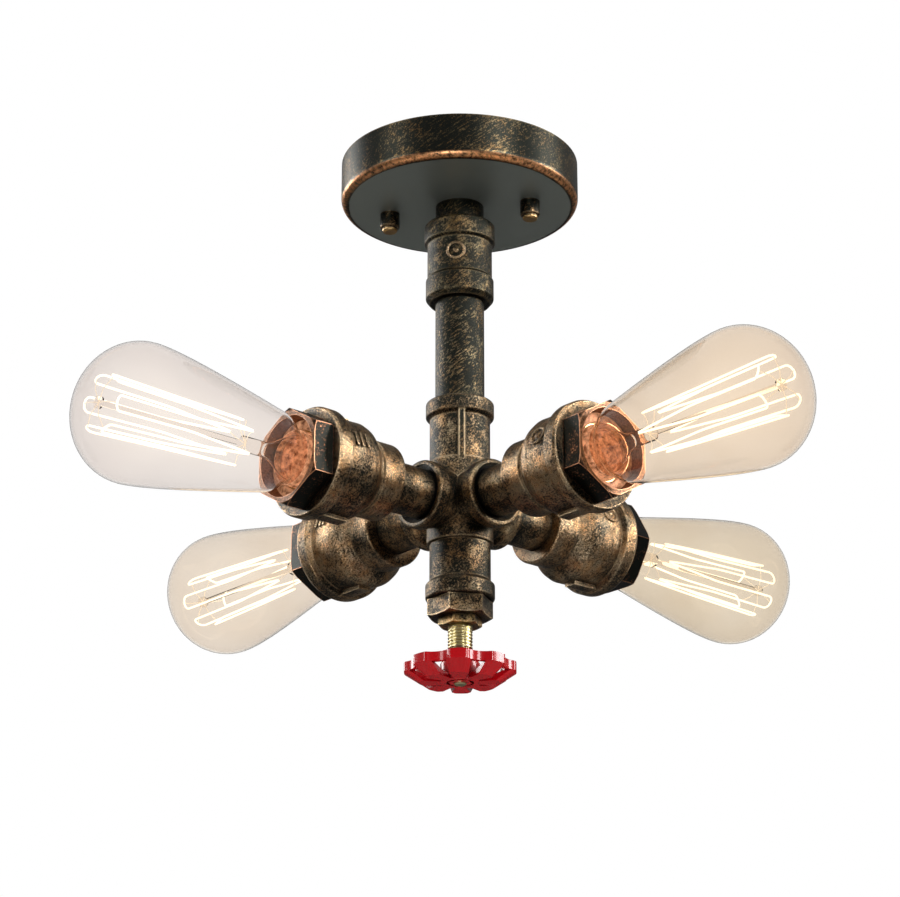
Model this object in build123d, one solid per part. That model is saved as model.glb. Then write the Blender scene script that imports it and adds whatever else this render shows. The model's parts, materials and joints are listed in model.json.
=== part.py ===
from build123d import *
import os
from math import cos, pi, radians, sin

# Four-lamp industrial pipe light for a ceiling. All lengths are millimetres.
# The origin is the centre of the ceiling plane; +Z is up, so the light hangs below it.
# The four arms point along +X, +Y, -X and -Y and are numbered 1 to 4 in that order.

# ---- clearances -------------------------------------------------------------------------
THREAD_GAP = 0.1        # radial gap of a fixed threaded or pushed-in fit
RUNNING_GAP = 0.06      # radial gap of the turning valve stem
LOOSE_GAP = 0.4         # gap between a bulb and the holder that it screws into
SEAT_GAP = 0.2          # axial play of the valve stem

# ---- ceiling plate and its fixing ---------------------------------------------------------
CANOPY_DIAMETER = 118.4
CANOPY_DEPTH = 22.5
CANOPY_WALL = 1.5
CANOPY_EDGE_ROUNDING = 4.0
STRAP_LENGTH = 102.0
STRAP_WIDTH = 22.0
STRAP_THICKNESS = 2.0
STRAP_TURN = 37.0       # degrees from arm 1 to the line of the two cap nuts
STRAP_CABLE_HOLE = 12.0  # lets the supply cable in
CEILING_SCREW_PCD = 88.0
CEILING_SCREW_HOLE = 4.8
STUD_PCD = 71.5
STUD_DIAMETER = 4.0
CAP_NUT_DIAMETER = 9.8
CAP_NUT_LENGTH = 10.0
CAP_NUT_TIP_LENGTH = 2.2
CAP_NUT_TIP_DIAMETER = 7.6
LOCKNUT_FLATS = 30.0
LOCKNUT_HEIGHT = 5.0
TERMINAL_LENGTH = 27.0
TERMINAL_WIDTH = 20.0
TERMINAL_HEIGHT = 9.0
TERMINAL_SCREWS = 4
TERMINAL_SCREW_DIAMETER = 3.6
EARTH_SCREW_OFFSET = -25.0
EARTH_SCREW_HEAD = 7.0
EARTH_SCREW_HEAD_HEIGHT = 2.2

# ---- pipes and stem -----------------------------------------------------------------------
PIPE_DIAMETER = 24.0
PIPE_BORE = 17.0
SPIGOT_DIAMETER = 21.0  # reduced end of the top nipple, through the ceiling plate
NECK_LENGTH = 10.5      # nipple seen between ceiling plate and coupling
COUPLING_LENGTH = 42.0
COUPLING_UPPER_BEAD = 10.5
COUPLING_LOWER_BEAD = 12.5
COUPLING_UPPER_DIAMETER = 35.0
COUPLING_LOWER_DIAMETER = 33.6
COUPLING_BARREL_DIAMETER = 32.0
STEM_PIPE_LENGTH = 53.0  # seen between coupling and cross
PIPE_ENGAGEMENT = 11.0  # length of pipe inside each fitting

# ---- six-way cross --------------------------------------------------------------------------
PORT_BARREL_DIAMETER = 29.3
PORT_BEAD_DIAMETER = 33.2
PORT_BEAD_LENGTH = 8.0
SIDE_BEAD_LENGTH = 6.5
TOP_PORT_LENGTH = 52.0
BOTTOM_PORT_LENGTH = 48.0
SIDE_PORT_LENGTH = 26.5
CORE_DIAMETER = 32.0
CORE_HALF_HEIGHT = 20.5
SIDE_ENGAGEMENT = 9.0
MOUTH_CHAMFER = 2.4
SEAM_WIDTH = 3.0
SEAM_HEIGHT = 1.4
SEAM_AZIMUTH = -38.0

# ---- arms and lamp cups, measured out along an arm ------------------------------------------
ARM_NIPPLE_LENGTH = 22.5  # seen between cross and cup
CUP_LENGTH = 45.5
CUP_COLLAR_DIAMETER = 36.8
CUP_COLLAR_LENGTH = 12.0
CUP_WAIST_DIAMETER = 34.8
CUP_BARREL_DIAMETER = 47.4
CUP_BARREL_START = 23.0  # from the cup's small end
CUP_SHOULDER_LENGTH = 3.4
CUP_BEAD_START = 37.8
CUP_BEAD_DIAMETER = 52.6
CUP_WALL = 2.3
CUP_RIB_WIDTH = 7.0
CUP_RIB_HEIGHT = 1.6
CUP_RIB_TURNS = (0.0, 180.0)
CUP_ENGAGEMENT = 9.0
CUP_FLOOR = 13.5        # from the cup's small end to the lamp holder's seat
BUSHING_FLATS = 41.4
BUSHING_LENGTH = 11.0
BUSHING_SPIGOT = 8.5
BUSHING_BORE = 38.6
BUSHING_TURNS = (0.0, 30.0, 0.0, 0.0)

# ---- lamp holder ------------------------------------------------------------------------------
HOLDER_DIAMETER = 37.6
HOLDER_BASE_DIAMETER = 29.6
HOLDER_TAPER = 5.5
HOLDER_FLOOR = 10.5
HOLDER_LIP_BEHIND = 1.0  # how far the holder's lip stays behind the cap's end
SHELL_WALL = 0.5
SHELL_BEHIND_LIP = 2.0
CONTACT_RIVET_DIAMETER = 3.0
CONTACT_PLATE_DIAMETER = 10.0
CONTACT_PLATE_THICKNESS = 0.6

# ---- bulb: 64 mm pear shape on a 27 mm screw cap -----------------------------------------------
BULB_CAP_DIAMETER = 26.2
BULB_CAP_LENGTH = 27.0
BULB_CAP_WALL = 0.4
BULB_CAP_SKIRT = 20.0
BULB_TIP_DIAMETER = 9.0
BULB_TIP_LENGTH = 1.8
BULB_LENGTH = 140.4
BULB_DIAMETER = 64.0
BULB_NECK_DIAMETER = 39.0
BULB_NECK_AT = 39.9     # from the cap's tip
BULB_WIDEST_AT = 112.5
BULB_FLANK_START = 1.21  # flank's slope at the neck over its mean slope
GLASS_WALL = 0.8
GLASS_IN_CAP = 3.0
STEM_FLARE_LENGTH = 11.0
STEM_PRESS_DIAMETER = 8.0
STEM_PRESS_LENGTH = 14.0
STEM_ROD_DIAMETER = 3.2
STEM_BUTTON_DIAMETER = 6.0
STEM_BUTTON_LENGTH = 3.0
CAGE_STRANDS = 12
CAGE_BASE_RADIUS = 10.5
CAGE_TIP_RADIUS = 13.5
CAGE_START = 43.0       # from the cap's tip
CAGE_LENGTH = 74.0
FILAMENT_DIAMETER = 0.8
SUPPORT_THICKNESS = 0.5

# ---- leads --------------------------------------------------------------------------------------
LEAD_DIAMETER = 1.8
LEAD_REACH = 6.0        # from the stem axis towards the arm that the lead feeds
LEAD_SPREAD = 3.0       # to each side of the arm axis
LEAD_BEND = 8.0
LEAD_IN_BLOCK = 3.0
LEAD_IN_HOLDER = 3.0

# ---- valve at the foot ----------------------------------------------------------------------------
PLUG_FLATS = 27.6
PLUG_HEIGHT = 8.8
PLUG_SPIGOT = 11.0
GLAND_FLATS = 18.4
GLAND_HEIGHT = 4.0
GLAND_SPIGOT_DIAMETER = 15.6
GLAND_SPIGOT_LENGTH = 5.0
VALVE_STEM_DIAMETER = 11.8
VALVE_STEM_SHOWS = 11.5
VALVE_TANG_DIAMETER = 6.0
VALVE_COLLAR_DIAMETER = 16.0
VALVE_COLLAR_HEIGHT = 2.5
WHEEL_DIAMETER = 53.0
WHEEL_FOOT_DIAMETER = 38.0
WHEEL_RIM_DROP = 6.5    # hub top down to the rim's upper edge
WHEEL_RIM_HEIGHT = 9.4
WHEEL_BAND_HEIGHT = 4.4
WHEEL_WALL = 2.4
WHEEL_LOBES = 8
WHEEL_SCALLOP_RADIUS = 9.0
WHEEL_SCALLOP_DEPTH = 3.0
WHEEL_LOBE_ROUNDING = 2.0
WHEEL_TURN = -43.0      # degrees from arm 1 to a lobe
WHEEL_GAP_AT_HUB = 1.6  # width of the gap between two ribs, at the hub and at the rim
WHEEL_GAP_AT_RIM = 8.6
HUB_DIAMETER = 13.0
HUB_LENGTH = 12.4
HUB_SKIRT_DIAMETER = 19.0
HUB_RECESS_DIAMETER = 13.0
WHEEL_NUT_FLATS = 10.0
WHEEL_NUT_HEIGHT = 3.6

# ---- heights and stations that follow ----------------------------------------------------------------
COUPLING_TOP = -(CANOPY_DEPTH + NECK_LENGTH)
COUPLING_FOOT = COUPLING_TOP - COUPLING_LENGTH
ARM_HEIGHT = COUPLING_FOOT - STEM_PIPE_LENGTH - TOP_PORT_LENGTH
PORT_FOOT = ARM_HEIGHT - BOTTOM_PORT_LENGTH
PLUG_FOOT = PORT_FOOT - PLUG_HEIGHT
GLAND_FOOT = PLUG_FOOT - GLAND_HEIGHT
HUB_TOP = GLAND_FOOT - VALVE_STEM_SHOWS
HUB_FOOT = HUB_TOP - HUB_LENGTH
RIM_TOP = HUB_TOP - WHEEL_RIM_DROP
RIM_FOOT = RIM_TOP - WHEEL_RIM_HEIGHT
CUP_START = SIDE_PORT_LENGTH + ARM_NIPPLE_LENGTH
CUP_END = CUP_START + CUP_LENGTH
HOLDER_START = CUP_START + CUP_FLOOR
SHELL_FLOOR = HOLDER_START + HOLDER_FLOOR
HOLDER_END = SHELL_FLOOR + BULB_CAP_LENGTH - HOLDER_LIP_BEHIND
PIPE_RADIUS = PIPE_DIAMETER / 2
SOCKET_RADIUS = PIPE_RADIUS + THREAD_GAP
CONTACT_HEIGHT = CONTACT_PLATE_THICKNESS + 2.0
BULB_START = SHELL_FLOOR + CONTACT_HEIGHT + LOOSE_GAP
SHELL_RADIUS = BULB_CAP_DIAMETER / 2 + LOOSE_GAP
CAGE_END = CAGE_START + CAGE_LENGTH
CONE_TOP = BULB_CAP_LENGTH - BULB_CAP_SKIRT
GLASS_FOOT = BULB_CAP_LENGTH - GLASS_IN_CAP
QUARTER_HANDLE = 0.5523  # handle length that bends a curve round a quarter of an ellipse
ARM_AZIMUTHS = (0.0, 90.0, 180.0, 270.0)


def turned(outline):
    """Solid of revolution about Z. Each corner of the outline is (radius, height, rounding)."""
    corners = [(radius, 0, height) for radius, height, _ in outline]
    roundings = [rounding for _, _, rounding in outline]
    edge = FilletPolyline(*corners, radius=roundings, close=True)
    return revolve(make_face(edge), Axis.Z)


def rod(diameter, low, high):
    """Cylinder on the Z axis between two heights."""
    return Pos(0, 0, low) * Cylinder(diameter / 2, high - low, align=(Align.CENTER, Align.CENTER, Align.MIN))


def tube(outer, bore, low, high):
    """Pipe on the Z axis between two heights."""
    return rod(outer, low, high) - rod(bore, low - 1, high + 1)


def hexagon(flats, low, high, turn=0.0):
    """Hexagonal prism on the Z axis, a corner on +X when it isn't turned."""
    face = Rot(0, 0, turn) * RegularPolygon(flats / 2, 6, major_radius=False)
    return Pos(0, 0, low) * extrude(face, amount=high - low)


def corner_cone(flats, low, high, at_low, at_high):
    """Turned blank whose intersection chamfers a hexagon's corners at the ends that are asked for."""
    corner = flats / 2 / cos(pi / 6)
    drop = (corner - flats / 2) * 0.7
    reach = corner + 1
    outline = [(0, low, 0)]
    outline += [(flats / 2, low, 0), (reach, low + drop, 0)] if at_low else [(reach, low, 0)]
    outline += [(reach, high - drop, 0), (flats / 2, high, 0)] if at_high else [(reach, high, 0)]
    return turned(outline + [(0, high, 0)])


def on_arm(piece, azimuth):
    """Lays a piece modelled along Z along the arm at this azimuth, its X side up."""
    out = (cos(radians(azimuth)), sin(radians(azimuth)), 0)
    return Plane(origin=(0, 0, ARM_HEIGHT), x_dir=(0, 0, 1), z_dir=out) * piece


# ---- ceiling plate and fixing ----------------------------------------------------------------------
def stud_places():
    return [Rot(0, 0, STRAP_TURN) * Pos(side * STUD_PCD / 2, 0, 0) for side in (-1, 1)]


def canopy():
    """Spun steel cup with a rounded lower edge, open to the ceiling."""
    outer = CANOPY_DIAMETER / 2
    inner = outer - CANOPY_WALL
    hole = SPIGOT_DIAMETER / 2 + THREAD_GAP
    face = -CANOPY_DEPTH
    outline = [(outer, 0, 0), (outer, face, CANOPY_EDGE_ROUNDING), (hole, face, 0)]
    outline += [(hole, face + CANOPY_WALL, 0)]
    outline += [(inner, face + CANOPY_WALL, CANOPY_EDGE_ROUNDING - CANOPY_WALL), (inner, 0, 0)]
    cup = turned(outline)
    for place in stud_places():
        cup -= place * rod(STUD_DIAMETER + 4 * THREAD_GAP, face - 1, face + CANOPY_WALL + 1)
    return cup


def mounting_strap():
    """Flat bar that is screwed to the ceiling box and carries the two studs."""
    bar = extrude(RectangleRounded(STRAP_LENGTH, STRAP_WIDTH, STRAP_WIDTH / 4), amount=-STRAP_THICKNESS)
    cutter_low = -STRAP_THICKNESS - 1
    bar -= rod(STRAP_CABLE_HOLE, cutter_low, 1)
    bar -= Pos(EARTH_SCREW_OFFSET, 0, 0) * rod(STUD_DIAMETER + 2 * THREAD_GAP, cutter_low, 1)
    for side in (-1, 1):
        bar -= Pos(side * CEILING_SCREW_PCD / 2, 0, 0) * rod(CEILING_SCREW_HOLE, cutter_low, 1)
        bar -= Pos(side * STUD_PCD / 2, 0, 0) * rod(STUD_DIAMETER + 2 * THREAD_GAP, cutter_low, 1)
    return Rot(0, 0, STRAP_TURN) * bar


def strap_studs():
    """Two threaded studs that hang from the strap through the ceiling plate."""
    foot = -(CANOPY_DEPTH + CAP_NUT_LENGTH - CAP_NUT_TIP_LENGTH)
    return [place * rod(STUD_DIAMETER, foot + THREAD_GAP, -THREAD_GAP) for place in stud_places()]


def cap_nuts():
    """Two closed nuts that hold the ceiling plate up."""
    face = -CANOPY_DEPTH
    tip = face - CAP_NUT_LENGTH
    shoulder = tip + CAP_NUT_TIP_LENGTH
    hole = STUD_DIAMETER / 2 + THREAD_GAP
    body = CAP_NUT_DIAMETER / 2
    outline = [(hole, face, 0), (body, face, 0), (body, shoulder, 0.8)]
    outline += [(CAP_NUT_TIP_DIAMETER / 2, shoulder, 0), (CAP_NUT_TIP_DIAMETER / 2, tip, 1.2), (0, tip, 0)]
    outline += [(0, shoulder, 0), (hole, shoulder, 0)]
    return [place * turned(outline) for place in stud_places()]


def canopy_nipple():
    """Short pipe whose reduced end goes up through the ceiling plate."""
    shoulder = -CANOPY_DEPTH
    top = shoulder + CANOPY_WALL + LOCKNUT_HEIGHT + 1.5
    foot = COUPLING_TOP - PIPE_ENGAGEMENT
    bore = PIPE_BORE / 2
    outline = [(bore, foot, 0), (PIPE_RADIUS, foot, 0), (PIPE_RADIUS, shoulder, 0)]
    outline += [(SPIGOT_DIAMETER / 2, shoulder, 0), (SPIGOT_DIAMETER / 2, top, 0.6), (bore, top, 0)]
    return turned(outline)


def nipple_locknut():
    """Nut that clamps the nipple to the inside of the ceiling plate."""
    low = -CANOPY_DEPTH + CANOPY_WALL
    high = low + LOCKNUT_HEIGHT
    nut = hexagon(LOCKNUT_FLATS, low, high) & corner_cone(LOCKNUT_FLATS, low, high, False, True)
    return nut - rod(SPIGOT_DIAMETER + 2 * THREAD_GAP, low - 1, high + 1)


def lead_places():
    """Places across the stem where the two leads of each arm run down."""
    places = []
    for azimuth in ARM_AZIMUTHS:
        for side in (-1, 1):
            places.append((azimuth, side))
    return places


def terminal_block():
    """Connector under the strap, with an entry for each lead in its lower face."""
    low = -STRAP_THICKNESS - TERMINAL_HEIGHT
    block = Pos(0, 0, low) * extrude(RectangleRounded(TERMINAL_LENGTH, TERMINAL_WIDTH, 2), amount=TERMINAL_HEIGHT)
    block = Rot(0, 0, STRAP_TURN) * block
    entry = rod(LEAD_DIAMETER + 4 * THREAD_GAP, low - 1, low + LEAD_IN_BLOCK)
    for azimuth, side in lead_places():
        block -= Rot(0, 0, azimuth) * Pos(LEAD_REACH, side * LEAD_SPREAD, 0) * entry
    for place in terminal_screw_places():
        block -= place * rod(TERMINAL_SCREW_DIAMETER + 2 * THREAD_GAP, -2.4, 1)
    return block


def terminal_screw_places():
    """Row along one long side of the block, each screw's head outwards."""
    middle = -STRAP_THICKNESS - TERMINAL_HEIGHT / 2
    pitch = TERMINAL_LENGTH / (TERMINAL_SCREWS + 0.5)
    first = -pitch * (TERMINAL_SCREWS - 1) / 2
    places = []
    for index in range(TERMINAL_SCREWS):
        place = Pos(first + index * pitch, -TERMINAL_WIDTH / 2, middle) * Rot(90, 0, 0)
        places.append(Rot(0, 0, STRAP_TURN) * place)
    return places


def terminal_screws():
    slot = Box(TERMINAL_SCREW_DIAMETER + 1, 0.8, 1.0)
    screw = rod(TERMINAL_SCREW_DIAMETER, -2.4, -0.4) - Pos(0, 0, -0.4) * slot
    return [place * screw for place in terminal_screw_places()]


def earth_screw():
    """Screw in the strap that holds the earth lead."""
    under = -STRAP_THICKNESS
    low = under - EARTH_SCREW_HEAD_HEIGHT
    outline = [(0, low, 0), (EARTH_SCREW_HEAD / 2, low, 0.9), (EARTH_SCREW_HEAD / 2, under, 0)]
    outline += [(STUD_DIAMETER / 2, under, 0), (STUD_DIAMETER / 2, -THREAD_GAP, 0), (0, -THREAD_GAP, 0)]
    return Rot(0, 0, STRAP_TURN) * Pos(EARTH_SCREW_OFFSET, 0, 0) * turned(outline)


def earth_lead():
    """Bonding lead from the earth screw to the inside of the ceiling plate."""
    high = -STRAP_THICKNESS - EARTH_SCREW_HEAD_HEIGHT
    lead = rod(LEAD_DIAMETER, -CANOPY_DEPTH + CANOPY_WALL, high)
    return Rot(0, 0, STRAP_TURN) * Pos(EARTH_SCREW_OFFSET, 0, 0) * lead


# ---- stem ---------------------------------------------------------------------------------------------
def top_coupling():
    """Cast coupling with a deep bead at each end and a bare barrel."""
    top = COUPLING_TOP
    foot = COUPLING_FOOT
    upper = COUPLING_UPPER_DIAMETER / 2
    lower = COUPLING_LOWER_DIAMETER / 2
    barrel = COUPLING_BARREL_DIAMETER / 2
    ledge = upper - barrel
    outline = [(SOCKET_RADIUS, top, 0), (upper, top, 1.6), (upper, top - COUPLING_UPPER_BEAD + ledge / 2, 0.6)]
    outline += [(barrel, top - COUPLING_UPPER_BEAD - ledge / 2, 0.4)]
    outline += [(barrel, foot + COUPLING_LOWER_BEAD + 0.6, 0.4), (lower, foot + COUPLING_LOWER_BEAD - 0.6, 0.5)]
    outline += [(lower, foot + 2.4, 1.2), (lower - 2.0, foot, 0.4), (SOCKET_RADIUS, foot, 0)]
    return turned(outline)


def stem_pipe():
    """Pipe between the coupling and the cross, engaged in both."""
    low = ARM_HEIGHT + TOP_PORT_LENGTH - PIPE_ENGAGEMENT
    return tube(PIPE_DIAMETER, PIPE_BORE, low, COUPLING_FOOT + PIPE_ENGAGEMENT)


# ---- six-way cross -----------------------------------------------------------------------------------------
def port(length, bead_length):
    """One outlet along +Z from the centre, with the bead round its mouth."""
    barrel = PORT_BARREL_DIAMETER / 2
    bead = PORT_BEAD_DIAMETER / 2
    start = length - bead_length
    outline = [(0, 0, 0), (barrel, 0, 0), (barrel, start - 1.2, 0.6), (bead, start + 0.6, 1.2)]
    outline += [(bead, length, 1.3), (0, length, 0)]
    return turned(outline)


def port_hollow(length, engagement):
    """What is bored out of an outlet: passage, pipe seat and the countersunk mouth."""
    passage = PIPE_BORE / 2
    seat = length - engagement
    outline = [(0, 0, 0), (passage, 0, 0), (passage, seat, 0), (SOCKET_RADIUS, seat, 0)]
    outline += [(SOCKET_RADIUS, length - MOUTH_CHAMFER / 2, 0), (SOCKET_RADIUS + MOUTH_CHAMFER, length, 0)]
    outline += [(SOCKET_RADIUS + MOUTH_CHAMFER, length + 1, 0), (0, length + 1, 0)]
    return turned(outline)


def six_way_cross():
    """Casting with four side outlets, one up to the stem and one down to the valve."""
    outlets = [(Rot(0, 0, 0), TOP_PORT_LENGTH, PORT_BEAD_LENGTH, PIPE_ENGAGEMENT)]
    outlets += [(Rot(180, 0, 0), BOTTOM_PORT_LENGTH, PORT_BEAD_LENGTH, PLUG_SPIGOT)]
    for azimuth in ARM_AZIMUTHS:
        turn = Rot(0, 0, azimuth) * Rot(0, 90, 0)
        outlets.append((turn, SIDE_PORT_LENGTH, SIDE_BEAD_LENGTH, SIDE_ENGAGEMENT))
    core = CORE_DIAMETER / 2
    core_outline = [(0, -CORE_HALF_HEIGHT, 0), (core, -CORE_HALF_HEIGHT, 0.8)]
    core_outline += [(core, CORE_HALF_HEIGHT, 0.8), (0, CORE_HALF_HEIGHT, 0)]
    casting = turned(core_outline)
    for turn, length, bead_length, _ in outlets:
        casting += turn * port(length, bead_length)
    casting += seam_ribs()
    for turn, length, _, engagement in outlets:
        casting -= turn * port_hollow(length, engagement)
    return Pos(0, 0, ARM_HEIGHT) * casting


def seam_ribs():
    """Raised parting line of the casting, front and back of the upper outlet."""
    low = CORE_HALF_HEIGHT - 2
    high = TOP_PORT_LENGTH - PORT_BEAD_LENGTH + 1
    reach = PORT_BARREL_DIAMETER / 2 + SEAM_HEIGHT
    blade = Pos(0, 0, low) * Box(2 * reach, SEAM_WIDTH, high - low, align=(Align.CENTER, Align.CENTER, Align.MIN))
    return Rot(0, 0, SEAM_AZIMUTH) * blade


# ---- valve at the foot -----------------------------------------------------------------------------------------
def bottom_plug():
    """Hexagonal plug screwed into the lower outlet, bored for the valve stem."""
    blank = hexagon(PLUG_FLATS, PLUG_FOOT, PORT_FOOT)
    blank = blank & corner_cone(PLUG_FLATS, PLUG_FOOT, PORT_FOOT, True, False)
    blank += rod(PIPE_DIAMETER, PORT_FOOT, PORT_FOOT + PLUG_SPIGOT - THREAD_GAP)
    blank -= rod(VALVE_STEM_DIAMETER + 2 * RUNNING_GAP, PLUG_FOOT - 1, ARM_HEIGHT)
    return blank - rod(GLAND_SPIGOT_DIAMETER + 2 * THREAD_GAP, PLUG_FOOT - 1, PLUG_FOOT + GLAND_SPIGOT_LENGTH)


def gland_nut():
    """Packing nut round the stem, screwed into the plug."""
    blank = hexagon(GLAND_FLATS, GLAND_FOOT, PLUG_FOOT)
    blank = blank & corner_cone(GLAND_FLATS, GLAND_FOOT, PLUG_FOOT, True, False)
    top = PLUG_FOOT + GLAND_SPIGOT_LENGTH - THREAD_GAP
    blank += rod(GLAND_SPIGOT_DIAMETER, PLUG_FOOT, top)
    return blank - rod(VALVE_STEM_DIAMETER + 2 * RUNNING_GAP, GLAND_FOOT - 1, top + 1)


def valve_stem():
    """Spindle with a retaining collar above the plug and a thin tang through the wheel."""
    stem = VALVE_STEM_DIAMETER / 2
    tang = VALVE_TANG_DIAMETER / 2
    collar_low = PORT_FOOT + PLUG_SPIGOT - THREAD_GAP + SEAT_GAP
    collar_high = collar_low + VALVE_COLLAR_HEIGHT
    tip = HUB_FOOT - WHEEL_NUT_HEIGHT - 1.0
    outline = [(0, tip, 0), (tang, tip, 0.6), (tang, HUB_TOP, 0), (stem, HUB_TOP, 0), (stem, collar_low, 0)]
    outline += [(VALVE_COLLAR_DIAMETER / 2, collar_low, 0), (VALVE_COLLAR_DIAMETER / 2, collar_high, 0.5)]
    outline += [(0, collar_high, 0)]
    return turned(outline)


def lobed(radius, scallop):
    """Flat outline with a scallop between every two lobes, the first lobe on +X."""
    face = Circle(radius)
    away = radius + scallop - WHEEL_SCALLOP_DEPTH
    for index in range(WHEEL_LOBES):
        face -= Rot(0, 0, (index + 0.5) * 360 / WHEEL_LOBES) * Pos(away, 0) * Circle(scallop)
    return fillet(face.vertices(), WHEEL_LOBE_ROUNDING)


def lobed_cup(inset, floor):
    """Straight lobed band over a lobed cone, both drawn in by a wall's thickness."""
    rim = WHEEL_DIAMETER / 2 - inset
    share = (WHEEL_FOOT_DIAMETER / 2 - inset) / rim
    face = lobed(rim, WHEEL_SCALLOP_RADIUS + inset)
    bend = RIM_TOP - WHEEL_BAND_HEIGHT
    band = Pos(0, 0, bend) * extrude(face, amount=WHEEL_BAND_HEIGHT)
    cone = loft([Pos(0, 0, floor) * scale(face, by=share), Pos(0, 0, bend) * face], ruled=True)
    return band + cone


def hub():
    """Boss in the middle of the wheel, hollow below for the nut."""
    top = HUB_DIAMETER / 2
    skirt = HUB_SKIRT_DIAMETER / 2
    recess = HUB_RECESS_DIAMETER / 2
    outline = [(0, HUB_TOP, 0), (top, HUB_TOP, 0.8), (top, HUB_TOP - 2.2, 2.0), (skirt, RIM_TOP - 0.6, 1.2)]
    outline += [(skirt - 0.5, RIM_FOOT, 0.8), (recess, RIM_FOOT, 0), (recess, HUB_FOOT, 0), (0, HUB_FOOT, 0)]
    return turned(outline)


def rib_gap():
    """Space between two ribs of the wheel, from the hub out through the cone."""
    near = HUB_SKIRT_DIAMETER / 2
    far = WHEEL_DIAMETER / 2 + 1
    half_near = WHEEL_GAP_AT_HUB / 2
    half_far = WHEEL_GAP_AT_RIM / 2
    face = Polygon((near, -half_near), (far, -half_far), (far, half_far), (near, half_near), align=None)
    height = RIM_TOP - WHEEL_BAND_HEIGHT - RIM_FOOT + 1
    return Pos(0, 0, RIM_FOOT - 1) * extrude(face, amount=height)


def handwheel():
    """Lobed, dished wheel: eight ribs run from the band down the cone and in to the hub."""
    wheel = lobed_cup(0, RIM_FOOT) - lobed_cup(WHEEL_WALL, RIM_FOOT + WHEEL_WALL)
    for index in range(WHEEL_LOBES):
        wheel -= Rot(0, 0, (index + 0.5) * 360 / WHEEL_LOBES) * rib_gap()
    wheel -= rod(HUB_RECESS_DIAMETER, RIM_FOOT - 1, RIM_TOP)
    wheel += hub()
    wheel -= rod(VALVE_TANG_DIAMETER + 2 * THREAD_GAP, HUB_FOOT - 1, HUB_TOP + 1)
    return Rot(0, 0, WHEEL_TURN) * wheel


def wheel_nut():
    """Nut under the hub that holds the wheel on the tang."""
    low = HUB_FOOT - WHEEL_NUT_HEIGHT
    nut = hexagon(WHEEL_NUT_FLATS, low, HUB_FOOT) & corner_cone(WHEEL_NUT_FLATS, low, HUB_FOOT, True, False)
    return nut - rod(VALVE_TANG_DIAMETER + 2 * THREAD_GAP, low - 1, HUB_FOOT + 1)


# ---- arms, modelled along Z from the centre of the cross -----------------------------------------------------------
def arm_nipple():
    low = SIDE_PORT_LENGTH - SIDE_ENGAGEMENT
    return tube(PIPE_DIAMETER, PIPE_BORE, low, CUP_START + CUP_ENGAGEMENT)


def lamp_cup():
    """Reducing socket: collar, waist, swelling shoulder, ribbed barrel and a heavy bead at the mouth."""
    collar = CUP_COLLAR_DIAMETER / 2
    waist = CUP_WAIST_DIAMETER / 2
    barrel = CUP_BARREL_DIAMETER / 2
    bead = CUP_BEAD_DIAMETER / 2
    inner = barrel - CUP_WALL
    start = CUP_START
    waist_at = start + CUP_COLLAR_LENGTH + 1.2
    barrel_at = start + CUP_BARREL_START
    bead_at = start + CUP_BEAD_START
    outline = [(SOCKET_RADIUS, start, 0), (collar, start, 1.2), (collar, waist_at - 1.2, 0.8)]
    outline += [(waist, waist_at - 0.4, 0.4), (waist, waist_at + 0.8, 0.6)]
    outline += [(barrel - 1.0, barrel_at - CUP_SHOULDER_LENGTH, 3.0), (barrel, barrel_at, 0.6)]
    outline += [(barrel - 0.3, bead_at - 1.0, 0.2), (bead, bead_at + 0.4, 1.0)]
    outline += [(bead, CUP_END - 1.6, 0.8), (bead - 0.8, CUP_END, 0.3), (inner, CUP_END, 0)]
    outline += [(inner, barrel_at - 1.5, 2.0), (HOLDER_BASE_DIAMETER / 2 + THREAD_GAP, HOLDER_START, 0)]
    outline += [(PIPE_BORE / 2, HOLDER_START, 0), (PIPE_BORE / 2, start + CUP_ENGAGEMENT + THREAD_GAP, 0)]
    outline += [(SOCKET_RADIUS, start + CUP_ENGAGEMENT + THREAD_GAP, 0)]
    cup = turned(outline)
    rib = Pos(inner + 0.5, 0, barrel_at) * Box(
        CUP_WALL - 0.5 + CUP_RIB_HEIGHT, CUP_RIB_WIDTH, CUP_BEAD_START - CUP_BARREL_START + 1,
        align=(Align.MIN, Align.CENTER, Align.MIN),
    )
    for turn in CUP_RIB_TURNS:
        cup += Rot(0, 0, turn) * rib
    return cup


def hex_bushing(turn):
    """Hexagonal bushing whose thin lip stands round the bulb's neck."""
    high = CUP_END + BUSHING_LENGTH
    low = CUP_END - BUSHING_SPIGOT
    blank = hexagon(BUSHING_FLATS, CUP_END, high, turn)
    blank = blank & corner_cone(BUSHING_FLATS + 2.4, CUP_END, high, False, True)
    blank += rod(CUP_BARREL_DIAMETER - 2 * CUP_WALL - 2 * THREAD_GAP, low, CUP_END)
    return blank - rod(BUSHING_BORE, low - 1, high + 1)


def lampholder():
    """Ceramic body with a tapered foot, a deep well for the screw shell and two lead holes."""
    outer = HOLDER_DIAMETER / 2
    well = SHELL_RADIUS + SHELL_WALL + THREAD_GAP
    top = HOLDER_END
    hole = CONTACT_RIVET_DIAMETER / 2 + THREAD_GAP
    outline = [(hole, HOLDER_START, 0), (HOLDER_BASE_DIAMETER / 2, HOLDER_START, 0)]
    outline += [(outer, HOLDER_START + HOLDER_TAPER, 1.0), (outer, top, 1.0), (well, top, 0.6)]
    outline += [(well, SHELL_FLOOR, 0), (hole, SHELL_FLOOR, 0)]
    body = turned(outline)
    entry = rod(LEAD_DIAMETER + 2 * THREAD_GAP, HOLDER_START - 1, HOLDER_START + LEAD_IN_HOLDER)
    for side in (-1, 1):
        body -= Pos(0, side * LEAD_SPREAD, 0) * entry
    return body


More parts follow.
